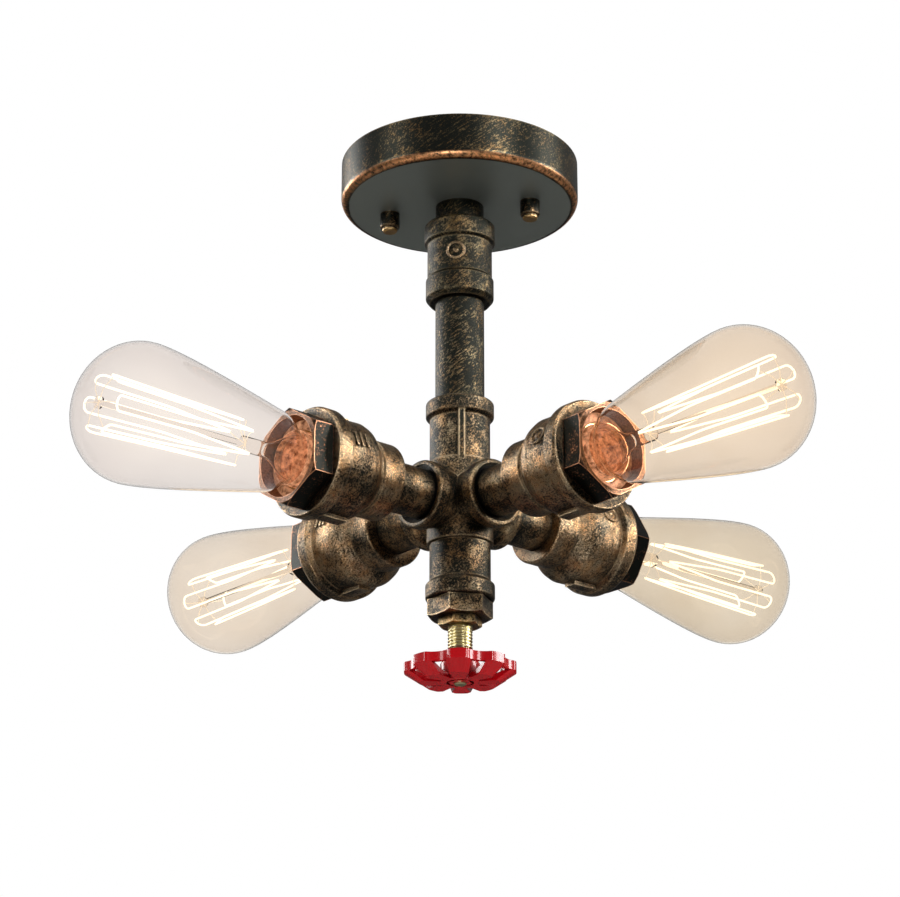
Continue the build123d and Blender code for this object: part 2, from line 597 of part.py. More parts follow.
def screw_shell():
    """Thin metal sleeve that the bulb's cap screws into."""
    outer = SHELL_RADIUS + SHELL_WALL
    return tube(2 * outer, 2 * SHELL_RADIUS, SHELL_FLOOR, HOLDER_END - SHELL_BEHIND_LIP)


def centre_contact():
    """Rivet and sprung button that meet the tip of the bulb."""
    rivet = CONTACT_RIVET_DIAMETER / 2
    plate = CONTACT_PLATE_DIAMETER / 2
    low = HOLDER_START + 1
    plate_top = SHELL_FLOOR + CONTACT_PLATE_THICKNESS
    outline = [(0, low, 0), (rivet, low, 0), (rivet, SHELL_FLOOR, 0), (plate, SHELL_FLOOR, 0)]
    outline += [(plate, plate_top, 0), (plate / 2, plate_top, 0), (plate / 2 - 0.5, SHELL_FLOOR + CONTACT_HEIGHT, 0.8)]
    outline += [(0, SHELL_FLOOR + CONTACT_HEIGHT, 0)]
    return turned(outline)


# ---- bulb, modelled along Z from the tip of its cap --------------------------------------------------------------------
def bulb_cap():
    """Screw cap: contact tip, insulating cone and threaded skirt."""
    skirt = BULB_CAP_DIAMETER / 2
    tip = BULB_TIP_DIAMETER / 2
    inside = skirt - BULB_CAP_WALL
    bottom = CONE_TOP + 1.5
    outline = [(0, 0, 0), (tip, 0, 0.6), (tip + 0.4, BULB_TIP_LENGTH, 0), (skirt - 0.8, CONE_TOP, 0.4)]
    outline += [(skirt, CONE_TOP + 0.8, 0), (skirt, BULB_CAP_LENGTH, 0)]
    outline += [(inside, BULB_CAP_LENGTH, 0), (inside, bottom, 0), (0, bottom, 0)]
    return turned(outline)


def glass_outline(inset):
    """Closed half outline of the bulb, drawn in by a wall's thickness: throat, neck, flank and crown."""
    widest = BULB_DIAMETER / 2 - inset
    neck = BULB_NECK_DIAMETER / 2 - inset
    throat = BULB_CAP_DIAMETER / 2 - BULB_CAP_WALL - THREAD_GAP - inset
    top = BULB_LENGTH - inset
    flank_length = BULB_WIDEST_AT - BULB_NECK_AT
    flare_length = BULB_NECK_AT - BULB_CAP_LENGTH
    slope = BULB_FLANK_START * (widest - neck) / flank_length
    reach = flank_length / 3
    flare_handle = flare_length / 2
    rise = top - BULB_WIDEST_AT
    flare = Bezier(
        (throat, 0, BULB_CAP_LENGTH),
        (throat, 0, BULB_CAP_LENGTH + flare_length / 3),
        (neck - slope * flare_handle, 0, BULB_NECK_AT - flare_handle),
        (neck, 0, BULB_NECK_AT),
    )
    flank = Bezier(
        (neck, 0, BULB_NECK_AT),
        (neck + slope * reach, 0, BULB_NECK_AT + reach),
        (widest, 0, BULB_WIDEST_AT - flank_length / 6),
        (widest, 0, BULB_WIDEST_AT),
    )
    crown = Bezier(
        (widest, 0, BULB_WIDEST_AT),
        (widest, 0, BULB_WIDEST_AT + QUARTER_HANDLE * rise),
        (QUARTER_HANDLE * widest, 0, top),
        (0, 0, top),
    )
    rest = Polyline((0, 0, top), (0, 0, GLASS_FOOT), (throat, 0, GLASS_FOOT), (throat, 0, BULB_CAP_LENGTH))
    return make_face([flare, flank, crown, rest])


def bulb_glass():
    """Pear-shaped envelope, open into the cap at its foot."""
    outer = revolve(glass_outline(0), Axis.Z)
    return outer - revolve(glass_outline(GLASS_WALL), Axis.Z)


def glass_stem():
    """Flare, pinch and centre rod that carry the filament cage."""
    foot = GLASS_FOOT
    flare = BULB_CAP_DIAMETER / 2 - BULB_CAP_WALL - THREAD_GAP - GLASS_WALL - THREAD_GAP
    press = STEM_PRESS_DIAMETER / 2
    rod_radius = STEM_ROD_DIAMETER / 2
    press_low = foot + STEM_FLARE_LENGTH
    press_high = press_low + STEM_PRESS_LENGTH
    button = STEM_BUTTON_DIAMETER / 2
    outline = [(0, foot, 0), (flare, foot, 0.3), (press, press_low, 2.5), (press, press_high, 1.5)]
    outline += [(rod_radius, press_high + 2, 0.5), (rod_radius, CAGE_END, 0), (button, CAGE_END, 0.6)]
    outline += [(button, CAGE_END + STEM_BUTTON_LENGTH, 1.2), (0, CAGE_END + STEM_BUTTON_LENGTH, 0)]
    return turned(outline)


def cage_point(index, height, radius):
    angle = 2 * pi * index / CAGE_STRANDS
    return Vector(radius * cos(angle), radius * sin(angle), height)


def filament():
    """Squirrel cage: one wire that runs up and down between the two rings of supports."""
    route = []
    for index in range(CAGE_STRANDS):
        low = cage_point(index, CAGE_START, CAGE_BASE_RADIUS)
        high = cage_point(index, CAGE_END, CAGE_TIP_RADIUS)
        route += [low, high] if index % 2 == 0 else [high, low]
    spine = Polyline(*route)
    section = Plane(origin=spine @ 0, z_dir=spine % 0) * RegularPolygon(FILAMENT_DIAMETER / 2, 6)
    return sweep(section, path=spine, transition=Transition.RIGHT)


def support_wires():
    """Hooks from the centre rod to the bends of the cage, at both ends."""
    wires = []
    half_pitch = pi / CAGE_STRANDS
    for index in range(CAGE_STRANDS - 1):
        at_tip = index % 2 == 0
        ring = CAGE_TIP_RADIUS if at_tip else CAGE_BASE_RADIUS
        height = CAGE_END if at_tip else CAGE_START
        root = (STEM_BUTTON_DIAMETER if at_tip else STEM_PRESS_DIAMETER) / 2 + THREAD_GAP
        reach = ring * cos(half_pitch) - FILAMENT_DIAMETER / 2 - THREAD_GAP
        height += STEM_BUTTON_LENGTH / 2 if at_tip else 0
        wire = Pos(root, 0, height) * Box(
            reach - root, SUPPORT_THICKNESS, SUPPORT_THICKNESS, align=(Align.MIN, Align.CENTER, Align.CENTER)
        )
        wires.append(Rot(0, 0, (index + 0.5) * 360 / CAGE_STRANDS) * wire)
    return wires


# ---- leads -------------------------------------------------------------------------------------------------------------------
def lamp_leads():
    """Two leads for each arm: down the stem, round the bend in the cross and out to the lamp holder."""
    top = -STRAP_THICKNESS - TERMINAL_HEIGHT + LEAD_IN_BLOCK - THREAD_GAP
    end = HOLDER_START + LEAD_IN_HOLDER - THREAD_GAP
    leads = []
    for azimuth, side in lead_places():
        start = (LEAD_REACH, side * LEAD_SPREAD, top)
        corner = (LEAD_REACH, side * LEAD_SPREAD, ARM_HEIGHT)
        finish = (end, side * LEAD_SPREAD, ARM_HEIGHT)
        path = FilletPolyline(start, corner, finish, radius=LEAD_BEND)
        section = Plane(origin=start, z_dir=(0, 0, -1)) * RegularPolygon(LEAD_DIAMETER / 2, 8)
        leads.append(Rot(0, 0, azimuth) * sweep(section, path=path))
    return leads


def write(name, shape):
    """Writes one node; a list of solids shares the node."""
    solids = shape if isinstance(shape, list) else [shape]
    whole = Compound(children=[solid for piece in solids for solid in piece.solids()])
    export_step(whole, f"parts/{name}.step")


def main():
    os.makedirs("parts", exist_ok=True)
    write("canopy", canopy())
    write("mounting_strap", mounting_strap())
    write("strap_studs", strap_studs())
    write("cap_nuts", cap_nuts())
    write("canopy_nipple", canopy_nipple())
    write("nipple_locknut", nipple_locknut())
    write("terminal_block", terminal_block())
    write("terminal_screws", terminal_screws())
    write("earth_screw", earth_screw())
    write("earth_lead", earth_lead())
    write("top_coupling", top_coupling())
    write("stem_pipe", stem_pipe())
    write("six_way_cross", six_way_cross())
    write("bottom_plug", bottom_plug())
    write("gland_nut", gland_nut())
    write("valve_stem", valve_stem())
    write("handwheel", handwheel())
    write("wheel_nut", wheel_nut())
    write("lamp_leads", lamp_leads())
    write("screw_shells", [on_arm(screw_shell(), azimuth) for azimuth in ARM_AZIMUTHS])
    write("centre_contacts", [on_arm(centre_contact(), azimuth) for azimuth in ARM_AZIMUTHS])
    for number, azimuth in enumerate(ARM_AZIMUTHS, start=1):
        seat = Pos(0, 0, BULB_START)
        write(f"arm_nipple_{number}", on_arm(arm_nipple(), azimuth))
        write(f"lamp_cup_{number}", on_arm(lamp_cup(), azimuth))
        write(f"hex_bushing_{number}", on_arm(hex_bushing(BUSHING_TURNS[number - 1]), azimuth))
        write(f"lampholder_{number}", on_arm(lampholder(), azimuth))
        write(f"bulb_cap_{number}", on_arm(seat * bulb_cap(), azimuth))
        write(f"bulb_glass_{number}", on_arm(seat * bulb_glass(), azimuth))
        write(f"glass_stem_{number}", on_arm(seat * glass_stem(), azimuth))
        write(f"filament_{number}", on_arm(seat * filament(), azimuth))
        write(f"support_wires_{number}", [on_arm(seat * wire, azimuth) for wire in support_wires()])


main()
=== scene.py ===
# %% [markdown]
# # A four-lamp industrial pipe light
# The real light is a stack of pipe fittings: a round plate on the ceiling, a stem, a six-way cross with
# a bulb on each side outlet, and a small red handwheel at the foot. The fittings come ready from the
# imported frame, so this lesson is about their finish, and about the pieces that need a finer shape than
# a CAD solid has: clear glass, glowing wire, threads and the soft edges of a casting.

# %% Load the frame
import bmesh
import bpy
import json
from math import cos, pi, radians, sin
from mathutils import Matrix, Vector

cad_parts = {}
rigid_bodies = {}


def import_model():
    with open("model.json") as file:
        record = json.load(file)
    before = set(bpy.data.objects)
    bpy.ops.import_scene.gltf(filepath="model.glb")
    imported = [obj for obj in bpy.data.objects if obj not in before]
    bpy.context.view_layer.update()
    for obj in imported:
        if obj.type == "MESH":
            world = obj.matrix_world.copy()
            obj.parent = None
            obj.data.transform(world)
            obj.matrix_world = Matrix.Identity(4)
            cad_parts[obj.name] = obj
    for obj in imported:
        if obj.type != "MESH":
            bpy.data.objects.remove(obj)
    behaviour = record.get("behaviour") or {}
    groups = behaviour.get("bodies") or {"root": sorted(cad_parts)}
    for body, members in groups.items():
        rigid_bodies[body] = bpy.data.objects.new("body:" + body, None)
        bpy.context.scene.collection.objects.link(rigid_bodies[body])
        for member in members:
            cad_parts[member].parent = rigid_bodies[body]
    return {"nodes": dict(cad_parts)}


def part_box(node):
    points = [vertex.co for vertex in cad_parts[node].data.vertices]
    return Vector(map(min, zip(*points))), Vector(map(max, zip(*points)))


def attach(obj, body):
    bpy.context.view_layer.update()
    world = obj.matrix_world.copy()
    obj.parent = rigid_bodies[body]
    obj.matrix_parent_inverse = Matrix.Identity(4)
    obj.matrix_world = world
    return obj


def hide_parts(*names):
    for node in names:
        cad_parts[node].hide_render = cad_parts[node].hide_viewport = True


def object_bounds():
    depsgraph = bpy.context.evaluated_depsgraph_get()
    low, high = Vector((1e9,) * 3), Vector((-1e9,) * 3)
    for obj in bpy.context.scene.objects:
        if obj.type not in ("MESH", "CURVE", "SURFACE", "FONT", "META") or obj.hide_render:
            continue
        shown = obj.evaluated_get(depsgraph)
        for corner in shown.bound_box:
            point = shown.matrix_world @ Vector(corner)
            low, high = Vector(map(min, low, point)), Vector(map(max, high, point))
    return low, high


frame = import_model()
nodes = frame["nodes"]
cad_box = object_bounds()
MM = 0.001
ARMS = (1, 2, 3, 4)
print("nodes", len(nodes), "box", [round(v, 4) for corner in cad_box for v in corner])

# %% [markdown]
# Every piece that repeats on the four arms is modelled once along +Z and then laid along its arm, with
# its +X side up. The stations along an arm are read from the frame, so the new pieces sit in the CAD
# ones without fitting.

# %% Stations and the arm transform
def middle(name):
    low, high = (Vector(corner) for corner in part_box(name))
    return (low + high) / 2


ARM_HEIGHT = middle("bulb_glass_1").z
BULB_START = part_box("bulb_cap_1")[0][0]
CAP_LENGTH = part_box("bulb_cap_1")[1][0] - BULB_START
GLASS_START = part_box("bulb_glass_1")[0][0] - BULB_START
GLASS_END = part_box("bulb_glass_1")[1][0] - BULB_START
GLASS_RADIUS = (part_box("bulb_glass_1")[1][2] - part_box("bulb_glass_1")[0][2]) / 2
CAP_RADIUS = (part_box("bulb_cap_1")[1][2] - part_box("bulb_cap_1")[0][2]) / 2


def arm_matrix(number):
    """Local +Z becomes the arm's direction and local +X becomes up."""
    angle = (number - 1) * pi / 2
    out = Vector((cos(angle), sin(angle), 0))
    up = Vector((0, 0, 1))
    side = out.cross(up)
    turn = Matrix((up, side, out)).transposed().to_4x4()
    return Matrix.Translation((0, 0, ARM_HEIGHT)) @ turn


print("arms at", round(ARM_HEIGHT, 4), "bulbs start", round(BULB_START, 4))

# %% [markdown]
# Most of these pieces are round, so they are turned on a lathe: a half outline is spun about the axis
# and joined up. The faces are then pointed outwards, because a spin can leave them inside out.

# %% A lathe
def lathe(name, outline, steps, place=Matrix()):
    """Spins (radius, height) points about Z and returns the new object, laid in its place."""
    turned = bmesh.new()
    line = [turned.verts.new((radius, 0, height)) for radius, height in outline]
    edges = [turned.edges.new(pair) for pair in zip(line, line[1:])]
    bmesh.ops.spin(
        turned, geom=line + edges, cent=(0, 0, 0), axis=(0, 0, 1), angle=2 * pi, steps=steps, use_merge=True
    )
    bmesh.ops.remove_doubles(turned, verts=turned.verts, dist=1e-6)
    bmesh.ops.recalc_face_normals(turned, faces=turned.faces)
    bmesh.ops.transform(turned, matrix=place, verts=turned.verts)
    return finished(name, turned)


def finished(name, shaped):
    """Turns a bmesh into a smooth-shaded object of the scene."""
    mesh = bpy.data.meshes.new(name)
    shaped.to_mesh(mesh)
    shaped.free()
    mesh.shade_smooth()
    piece = bpy.data.objects.new(name, mesh)
    bpy.context.scene.collection.objects.link(piece)
    return piece


def dress(piece, material, body, slot, *replaced):
    """Finish and body of a new piece, and the CAD nodes that it stands for. The slot is not used."""
    piece.data.materials.clear()
    piece.data.materials.append(material)
    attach(piece, body)
    if replaced:
        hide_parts(*replaced)


# %% [markdown]
# ## Finishes
# A material is a small network of nodes. These helpers keep the networks readable: one makes an empty
# material around a Principled shader, one adds a node with its settings, and one fills its inputs.

# %% Helpers for node networks
def add(tree, kind, **settings):
    node = tree.nodes.new("ShaderNode" + kind)
    for key, value in settings.items():
        setattr(node, key, value)
    return node


def put(tree, socket, value):
    """Links another node's socket to an input, or sets the input to a plain value."""
    if isinstance(value, bpy.types.NodeSocket):
        tree.links.new(value, socket)
    else:
        socket.default_value = value


def feed(tree, node, **values):
    """Fills a node's inputs by name. Spaces in an input's name are underscores."""
    for key, value in values.items():
        put(tree, node.inputs[key.replace("_", " ")], value)


def new_material(name):
    material = bpy.data.materials.new(name)
    material.use_nodes = True
    tree = material.node_tree
    return material, tree, tree.nodes["Principled BSDF"]


def math(tree, operation, first, second=0.0, clamp=False):
    node = add(tree, "Math", operation=operation, use_clamp=clamp)
    for socket, value in zip(node.inputs, (first, second)):
        put(tree, socket, value)
    return node.outputs[0]


def ramp(tree, value, low, high):
    """0 under low, 1 over high, straight between."""
    node = add(tree, "MapRange")
    feed(tree, node, Value=value, From_Min=low, From_Max=high)
    return node.outputs[0]


def noise(tree, vector, scale, detail=3.0, roughness=0.6):
    node = add(tree, "TexNoise")
    feed(tree, node, Vector=vector, Scale=scale, Detail=detail, Roughness=roughness)
    return node.outputs["Fac"]


def mix_colour(tree, share, first, second):
    """A Mix node holds sockets for every kind of data. Its colours are inputs 6 and 7 and output 2."""
    node = add(tree, "Mix", data_type="RGBA")
    put(tree, node.inputs["Factor"], share)
    put(tree, node.inputs[6], first)
    put(tree, node.inputs[7], second)
    return node.outputs[2]


def new_group(name, inputs, outputs):
    """A shader node group with float inputs and their defaults, and named outputs."""
    group = bpy.data.node_groups.new(name, "ShaderNodeTree")
    for label, value in inputs.items():
        socket = group.interface.new_socket(label, in_out="INPUT", socket_type="NodeSocketFloat")
        socket.default_value = value
    for label in outputs:
        group.interface.new_socket(label, in_out="OUTPUT", socket_type="NodeSocketFloat")
    return group, group.nodes.new("NodeGroupInput"), group.nodes.new("NodeGroupOutput")


# %% [markdown]
# The fittings are blackened, and then bronze paint is dragged over them with a nearly dry brush. The
# paint catches on edges and open faces and misses the hollows. So the mask starts from soft patches,
# broken up by fine grain and by streaks; it is taken away where an ambient occlusion node finds a
# hollow; and edges are added, found by comparing the true normal with one rounded off by a Bevel node.

# %% Group: dry-brushed paint
BRUSH_TURN = (radians(-55), 0.0, radians(-41))      # strokes climb across the side that faces the camera
STROKE_LENGTH = 7.0             # in widths of a streak
GRAIN_SCALE = 1150.0
STREAK_SCALE = 1100.0
GRAIN_SHARE = 1.5
PATCH_SHARE = 0.95
BARE_LEVEL = 0.86               # texture above this is painted when Cover is 0
COVER_REACH = 0.6               # how far a Cover of 1 brings that level down
FADE_BELOW, FADE_ABOVE = 0.14, 0.12
HOLLOW_TO_OPEN = (0.45, 0.92)   # ambient occlusion, from no paint to all of it
WEAR_RANGE = (0.003, 0.07)      # lean of the rounded normal, from no wear to all of it


def build_dry_brush():
    group, inputs, outputs = new_group(
        "dry_brush",
        {"Edge Width": 0.0013, "Edge": 1.0, "Cover": 0.5, "Patch Size": 70.0, "Streak": 0.5, "Hollow": 0.007},
        ("Mask", "Height", "Wear And Highlight"),
    )
    given = inputs.outputs
    where = add(group, "TexCoord").outputs["Object"]
    grain = noise(group, where, GRAIN_SCALE, 5.0, 0.85)
    patches = noise(group, where, given["Patch Size"], 6.0, 0.7)
    combed = add(group, "Mapping", vector_type="TEXTURE")
    feed(group, combed, Vector=where, Scale=(1.0, 1.0, STROKE_LENGTH), Rotation=BRUSH_TURN)
    streaks = noise(group, combed.outputs[0], STREAK_SCALE, 4.0, 0.65)
    texture = 0.5
    for layer, share in ((patches, PATCH_SHARE), (grain, GRAIN_SHARE), (streaks, given["Streak"])):
        swing = math(group, "MULTIPLY", math(group, "SUBTRACT", layer, 0.5), share)
        texture = math(group, "ADD", swing, texture)
    level = math(group, "SUBTRACT", BARE_LEVEL, math(group, "MULTIPLY", given["Cover"], COVER_REACH))
    fade = math(group, "SUBTRACT", level, FADE_BELOW), math(group, "ADD", level, FADE_ABOVE)
    painted = ramp(group, texture, *fade)
    occlusion = add(group, "AmbientOcclusion", samples=6, only_local=False)
    feed(group, occlusion, Distance=given["Hollow"])
    open_face = ramp(group, occlusion.outputs["AO"], *HOLLOW_TO_OPEN)
    painted = math(group, "MULTIPLY", painted, open_face)
    bevel = add(group, "Bevel", samples=6)
    feed(group, bevel, Radius=given["Edge Width"])
    compare = add(group, "VectorMath", operation="DOT_PRODUCT")
    group.links.new(bevel.outputs[0], compare.inputs[0])
    group.links.new(add(group, "NewGeometry").outputs["Normal"], compare.inputs[1])
    # Edge wear; in the bronze finishes it also brightens the colour, a painted highlight.
    wear_and_highlight = ramp(group, math(group, "SUBTRACT", 1.0, compare.outputs["Value"]), *WEAR_RANGE)
    wear_and_highlight = math(group, "MULTIPLY", wear_and_highlight, ramp(group, grain, 0.3, 0.55))
    wear_and_highlight = math(group, "MULTIPLY", wear_and_highlight, given["Edge"])
    wear_and_highlight = math(group, "MULTIPLY", wear_and_highlight, open_face, clamp=True)
    group.links.new(wear_and_highlight, outputs.inputs["Wear And Highlight"])
    group.links.new(math(group, "MAXIMUM", wear_and_highlight, painted, clamp=True), outputs.inputs["Mask"])
    height = math(group, "ADD", math(group, "MULTIPLY", grain, 0.7), math(group, "MULTIPLY", patches, 0.6))
    group.links.new(height, outputs.inputs["Height"])
    return group


dry_brush = build_dry_brush()
print("group", dry_brush.name)

# %% [markdown]
# One builder then makes every bronze finish. The dark coat and the bronze are both metals; the bronze
# is a little smoother. The group's height drives a faint bump, the sand grain of a casting.

# %% Bronze finishes
WARMER_TONE = (1.15, 0.86, 0.62, 1.0)       # the paint's colour times this, in clouds
# A worn edge is brighter than the paint: real wear, brightened further as a painted highlight.
WEAR_AND_HIGHLIGHT_GAIN = 1.45                          # how much brighter a rubbed edge is
CASTING_GRAIN = 0.0007


def bronze_network(name, dark, paint, rough, grain, brush):
    """Material whose Principled shader already has the brushed look; returns its colour socket too."""
    material, tree, shader = new_material(name)
    painted = add(tree, "Group", node_tree=dry_brush, name="brush")
    feed(tree, painted, **brush)
    mask = painted.outputs["Mask"]
    where = add(tree, "TexCoord").outputs["Object"]
    warmer = [channel * share for channel, share in zip(paint, WARMER_TONE)]
    tone = mix_colour(tree, ramp(tree, noise(tree, where, 130.0, 4.0), 0.35, 0.65), paint, warmer)
    # Worn edges in a brighter bronze: wear, with a painted highlight on it.
    worn_and_highlit = [min(channel * WEAR_AND_HIGHLIGHT_GAIN, 1.0) for channel in paint]
    colour = mix_colour(tree, mask, dark, mix_colour(tree, painted.outputs["Wear And Highlight"], tone, worn_and_highlit))
    roughness = math(tree, "ADD", math(tree, "MULTIPLY", mask, rough[1] - rough[0]), rough[0])
    bump = add(tree, "Bump")
    feed(tree, bump, Strength=grain, Distance=CASTING_GRAIN, Height=painted.outputs["Height"])
    feed(tree, shader, Base_Color=colour, Roughness=roughness, Normal=bump.outputs[0])
    shader.inputs["Metallic"].default_value = 1.0
    return material, tree, shader, colour


def bronze(name, dark, paint, rough=(0.40, 0.26), grain=0.5, **brush):
    return bronze_network(name, dark, paint, rough, grain, brush)[0]


BLACKENED = (0.016, 0.017, 0.014, 1.0)
BRONZE_PAINT = (0.46, 0.345, 0.205, 1.0)
CUP_PAINT = (0.52, 0.385, 0.235, 1.0)
DULL_BRONZE = (0.20, 0.16, 0.09, 1.0)
COPPER_PAINT = (0.66, 0.32, 0.17, 1.0)
OLD_BRASS = (0.70, 0.50, 0.24, 1.0)
cast_bronze = bronze(
    "cast_bronze", BLACKENED, BRONZE_PAINT, Cover=0.44, Patch_Size=75.0, Streak=0.3, Edge=1.4
)
cup_bronze = bronze(
    "cup_bronze", BLACKENED, CUP_PAINT, Cover=0.56, Patch_Size=60.0, Streak=0.25, Edge=1.4
)
coupling_bronze = bronze(
    "coupling_bronze", BLACKENED, DULL_BRONZE, Cover=0.36, Patch_Size=150.0, Streak=0.8, Edge=1.6
)
pipe_bronze = bronze("pipe_bronze", BLACKENED, DULL_BRONZE, Cover=0.27, Patch_Size=140.0, Streak=1.8)
aged_brass = bronze("aged_brass", BLACKENED, OLD_BRASS, Cover=0.6, Patch_Size=260.0, Streak=0.3)
print("bronze finishes", 5)

# %% [markdown]
# Four finishes change with place. The ceiling plate is satin black with copper brushed on its rounded
# edge, which is where its normal leans between down and out; its face, which looks down, is painted a
# lighter grey, painted light for the sheen of that face. The bushings have black sides, and copper where a
# point is on the face or near the arm's axis. The cap nuts end in a brass tip. The cross has
# less paint towards its top and bottom outlets.

# %% Ceiling plate, bushings, cap nuts and cross
PLATE_BLACK = (0.022, 0.024, 0.020, 1.0)
PLATE_FLECKS = (0.20, 0.155, 0.085, 1.0)
PLATE_FACE_PAINTED_SHEEN = (0.33, 0.36, 0.33, 1.0)
PLATE_COPPER = (1.0, 0.47, 0.21, 1.0)
TIP_BRASS = (0.48, 0.31, 0.14, 1.0)
BUSHING_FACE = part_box("hex_bushing_1")[1][0]
BORE_EDGE = 0.0197
SOFT_EDGE = 0.0003              # width over which one finish gives way to the next
TIP_HEIGHT = 1.5 * MM
CROSS_COVER, TOP_LOSS, BOTTOM_LOSS = 0.47, 0.16, 0.10


def canopy_finish():
    brush = {"Cover": 0.25, "Patch_Size": 45.0, "Streak": 1.3, "Edge": 0.6, "Hollow": 0.012}
    material, tree, shader, colour = bronze_network(
        "canopy_bronze", PLATE_BLACK, PLATE_FLECKS, (0.34, 0.32), 0.08, brush
    )
    lean = add(tree, "SeparateXYZ")
    tree.links.new(add(tree, "NewGeometry").outputs["Normal"], lean.inputs[0])
    down = math(tree, "MULTIPLY", lean.outputs[2], -1.0)
    rounded = math(tree, "MULTIPLY", ramp(tree, down, 0.2, 0.5), ramp(tree, down, 0.985, 0.85))
    where = add(tree, "TexCoord").outputs["Object"]
    broken = ramp(tree, noise(tree, where, 500.0, 5.0, 0.75), 0.36, 0.56)
    share = math(tree, "MULTIPLY", rounded, broken)
    # The down-facing face is mixed to a lighter grey: painted sheen on the satin black plate.
    face = ramp(tree, down, 0.99, 0.999)
    face_painted_sheen = mix_colour(tree, face, colour, PLATE_FACE_PAINTED_SHEEN)
    metal = math(tree, "SUBTRACT", 1.0, math(tree, "MULTIPLY", face, 0.15))
    feed(tree, shader, Base_Color=mix_colour(tree, share, face_painted_sheen, PLATE_COPPER), Metallic=metal)
    return material


def split_place(tree):
    """|x|, |y| and z of the point, in the frame's own axes."""
    apart = add(tree, "SeparateXYZ")
    tree.links.new(add(tree, "TexCoord").outputs["Object"], apart.inputs[0])
    x, y, z = apart.outputs
    return math(tree, "ABSOLUTE", x), math(tree, "ABSOLUTE", y), z


def bushing_finish():
    brush = {"Cover": 0.14, "Patch_Size": 120.0, "Edge": 1.3, "Edge_Width": 0.0007}
    material, tree, shader, colour = bronze_network(
        "bushing_bronze", BLACKENED, COPPER_PAINT, (0.36, 0.30), 0.25, brush
    )
    x, y, z = split_place(tree)
    along = math(tree, "MAXIMUM", x, y)
    across = math(tree, "MINIMUM", x, y)
    up = math(tree, "SUBTRACT", z, ARM_HEIGHT)
    squares = math(tree, "ADD", math(tree, "MULTIPLY", across, across), math(tree, "MULTIPLY", up, up))
    off_axis = math(tree, "SQRT", squares)
    face = ramp(tree, along, BUSHING_FACE - 2 * SOFT_EDGE, BUSHING_FACE - SOFT_EDGE / 3)
    bore = ramp(tree, off_axis, BORE_EDGE, BORE_EDGE - SOFT_EDGE)
    where = add(tree, "TexCoord").outputs["Object"]
    grain = ramp(tree, noise(tree, where, 900.0, 5.0, 0.8), 0.38, 0.62)
    broken = math(tree, "ADD", math(tree, "MULTIPLY", grain, 0.55), 0.1)
    speckled = math(tree, "MULTIPLY", face, math(tree, "MULTIPLY", grain, 0.45))
    laid = math(tree, "MAXIMUM", speckled, math(tree, "MULTIPLY", bore, broken))
    feed(tree, shader, Base_Color=mix_colour(tree, laid, colour, COPPER_PAINT))
    return material


def cap_nut_finish():
    material, tree, shader, colour = bronze_network(
        "nut_bronze", BLACKENED, BRONZE_PAINT, (0.36, 0.30), 0.2, {"Cover": 0.2, "Hollow": 0.002}
    )
    height = split_place(tree)[2]
    tip_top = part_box("cap_nuts")[0][2] + TIP_HEIGHT
    tip = ramp(tree, height, tip_top, tip_top - SOFT_EDGE)
    feed(tree, shader, Base_Color=mix_colour(tree, tip, colour, TIP_BRASS))
    return material


def cross_finish():
    """Less paint, so a darker finish, towards the top and bottom outlets."""
    brush = {"Patch_Size": 75.0, "Streak": 0.35, "Edge": 1.4}
    material, tree = bronze_network("cross_bronze", BLACKENED, BRONZE_PAINT, (0.40, 0.29), 0.5, brush)[:2]
    height = split_place(tree)[2]
    above = math(tree, "MULTIPLY", ramp(tree, height, ARM_HEIGHT + 0.010, ARM_HEIGHT + 0.032), TOP_LOSS)
    below = math(tree, "MULTIPLY", ramp(tree, height, ARM_HEIGHT - 0.014, ARM_HEIGHT - 0.026), BOTTOM_LOSS)
    cover = math(tree, "SUBTRACT", CROSS_COVER, math(tree, "ADD", above, below))
    feed(tree, tree.nodes["brush"], Cover=cover)
    return material


canopy_bronze = canopy_finish()
cross_bronze = cross_finish()
bushing_bronze = bushing_finish()
nut_bronze = cap_nut_finish()
print("bushing face at", round(BUSHING_FACE, 4))

# %% [markdown]
# Plain metals, enamel, ceramic, plastic and insulation share a second builder: a base colour that
# drifts a little over the surface, and a fine grain in the roughness.

# %% Plain finishes
def plain(name, colour, rough, metallic=0.0, drift=0.15, size=120.0, grain=0.02, coat=0.0):
    material, tree, shader = new_material(name)
    where = add(tree, "TexCoord").outputs["Object"]
    cloud = noise(tree, where, size, 4.0)
    fine = noise(tree, where, 1800.0, 2.0)
    darker = [channel * (1 - drift) for channel in colour[:3]] + [1.0]
    tint = mix_colour(tree, ramp(tree, cloud, 0.3, 0.7), darker, colour)
    bump = add(tree, "Bump")
    feed(tree, bump, Strength=grain, Distance=0.0004, Height=fine)
    spread = math(tree, "ADD", math(tree, "MULTIPLY", cloud, 0.12), rough - 0.06)
    feed(tree, shader, Base_Color=tint, Roughness=spread, Normal=bump.outputs[0])
    shader.inputs["Metallic"].default_value = metallic
    shader.inputs["Coat Weight"].default_value = coat
    shader.inputs["Coat Roughness"].default_value = 0.04
    return material


brass = plain("brass", (0.78, 0.55, 0.24, 1.0), 0.22, metallic=1.0, drift=0.3)
zinc_steel = plain("zinc_steel", (0.60, 0.60, 0.58, 1.0), 0.32, metallic=1.0)
spindle_brass = plain("spindle_brass", (0.76, 0.67, 0.38, 1.0), 0.36, metallic=1.0, drift=0.25)
white_plastic = plain("white_plastic", (0.72, 0.71, 0.67, 1.0), 0.5)
lead_insulation = plain("lead_insulation", (0.16, 0.06, 0.03, 1.0), 0.45)
earth_insulation = plain("earth_insulation", (0.05, 0.26, 0.05, 1.0), 0.45)
print("plain finishes", 6)

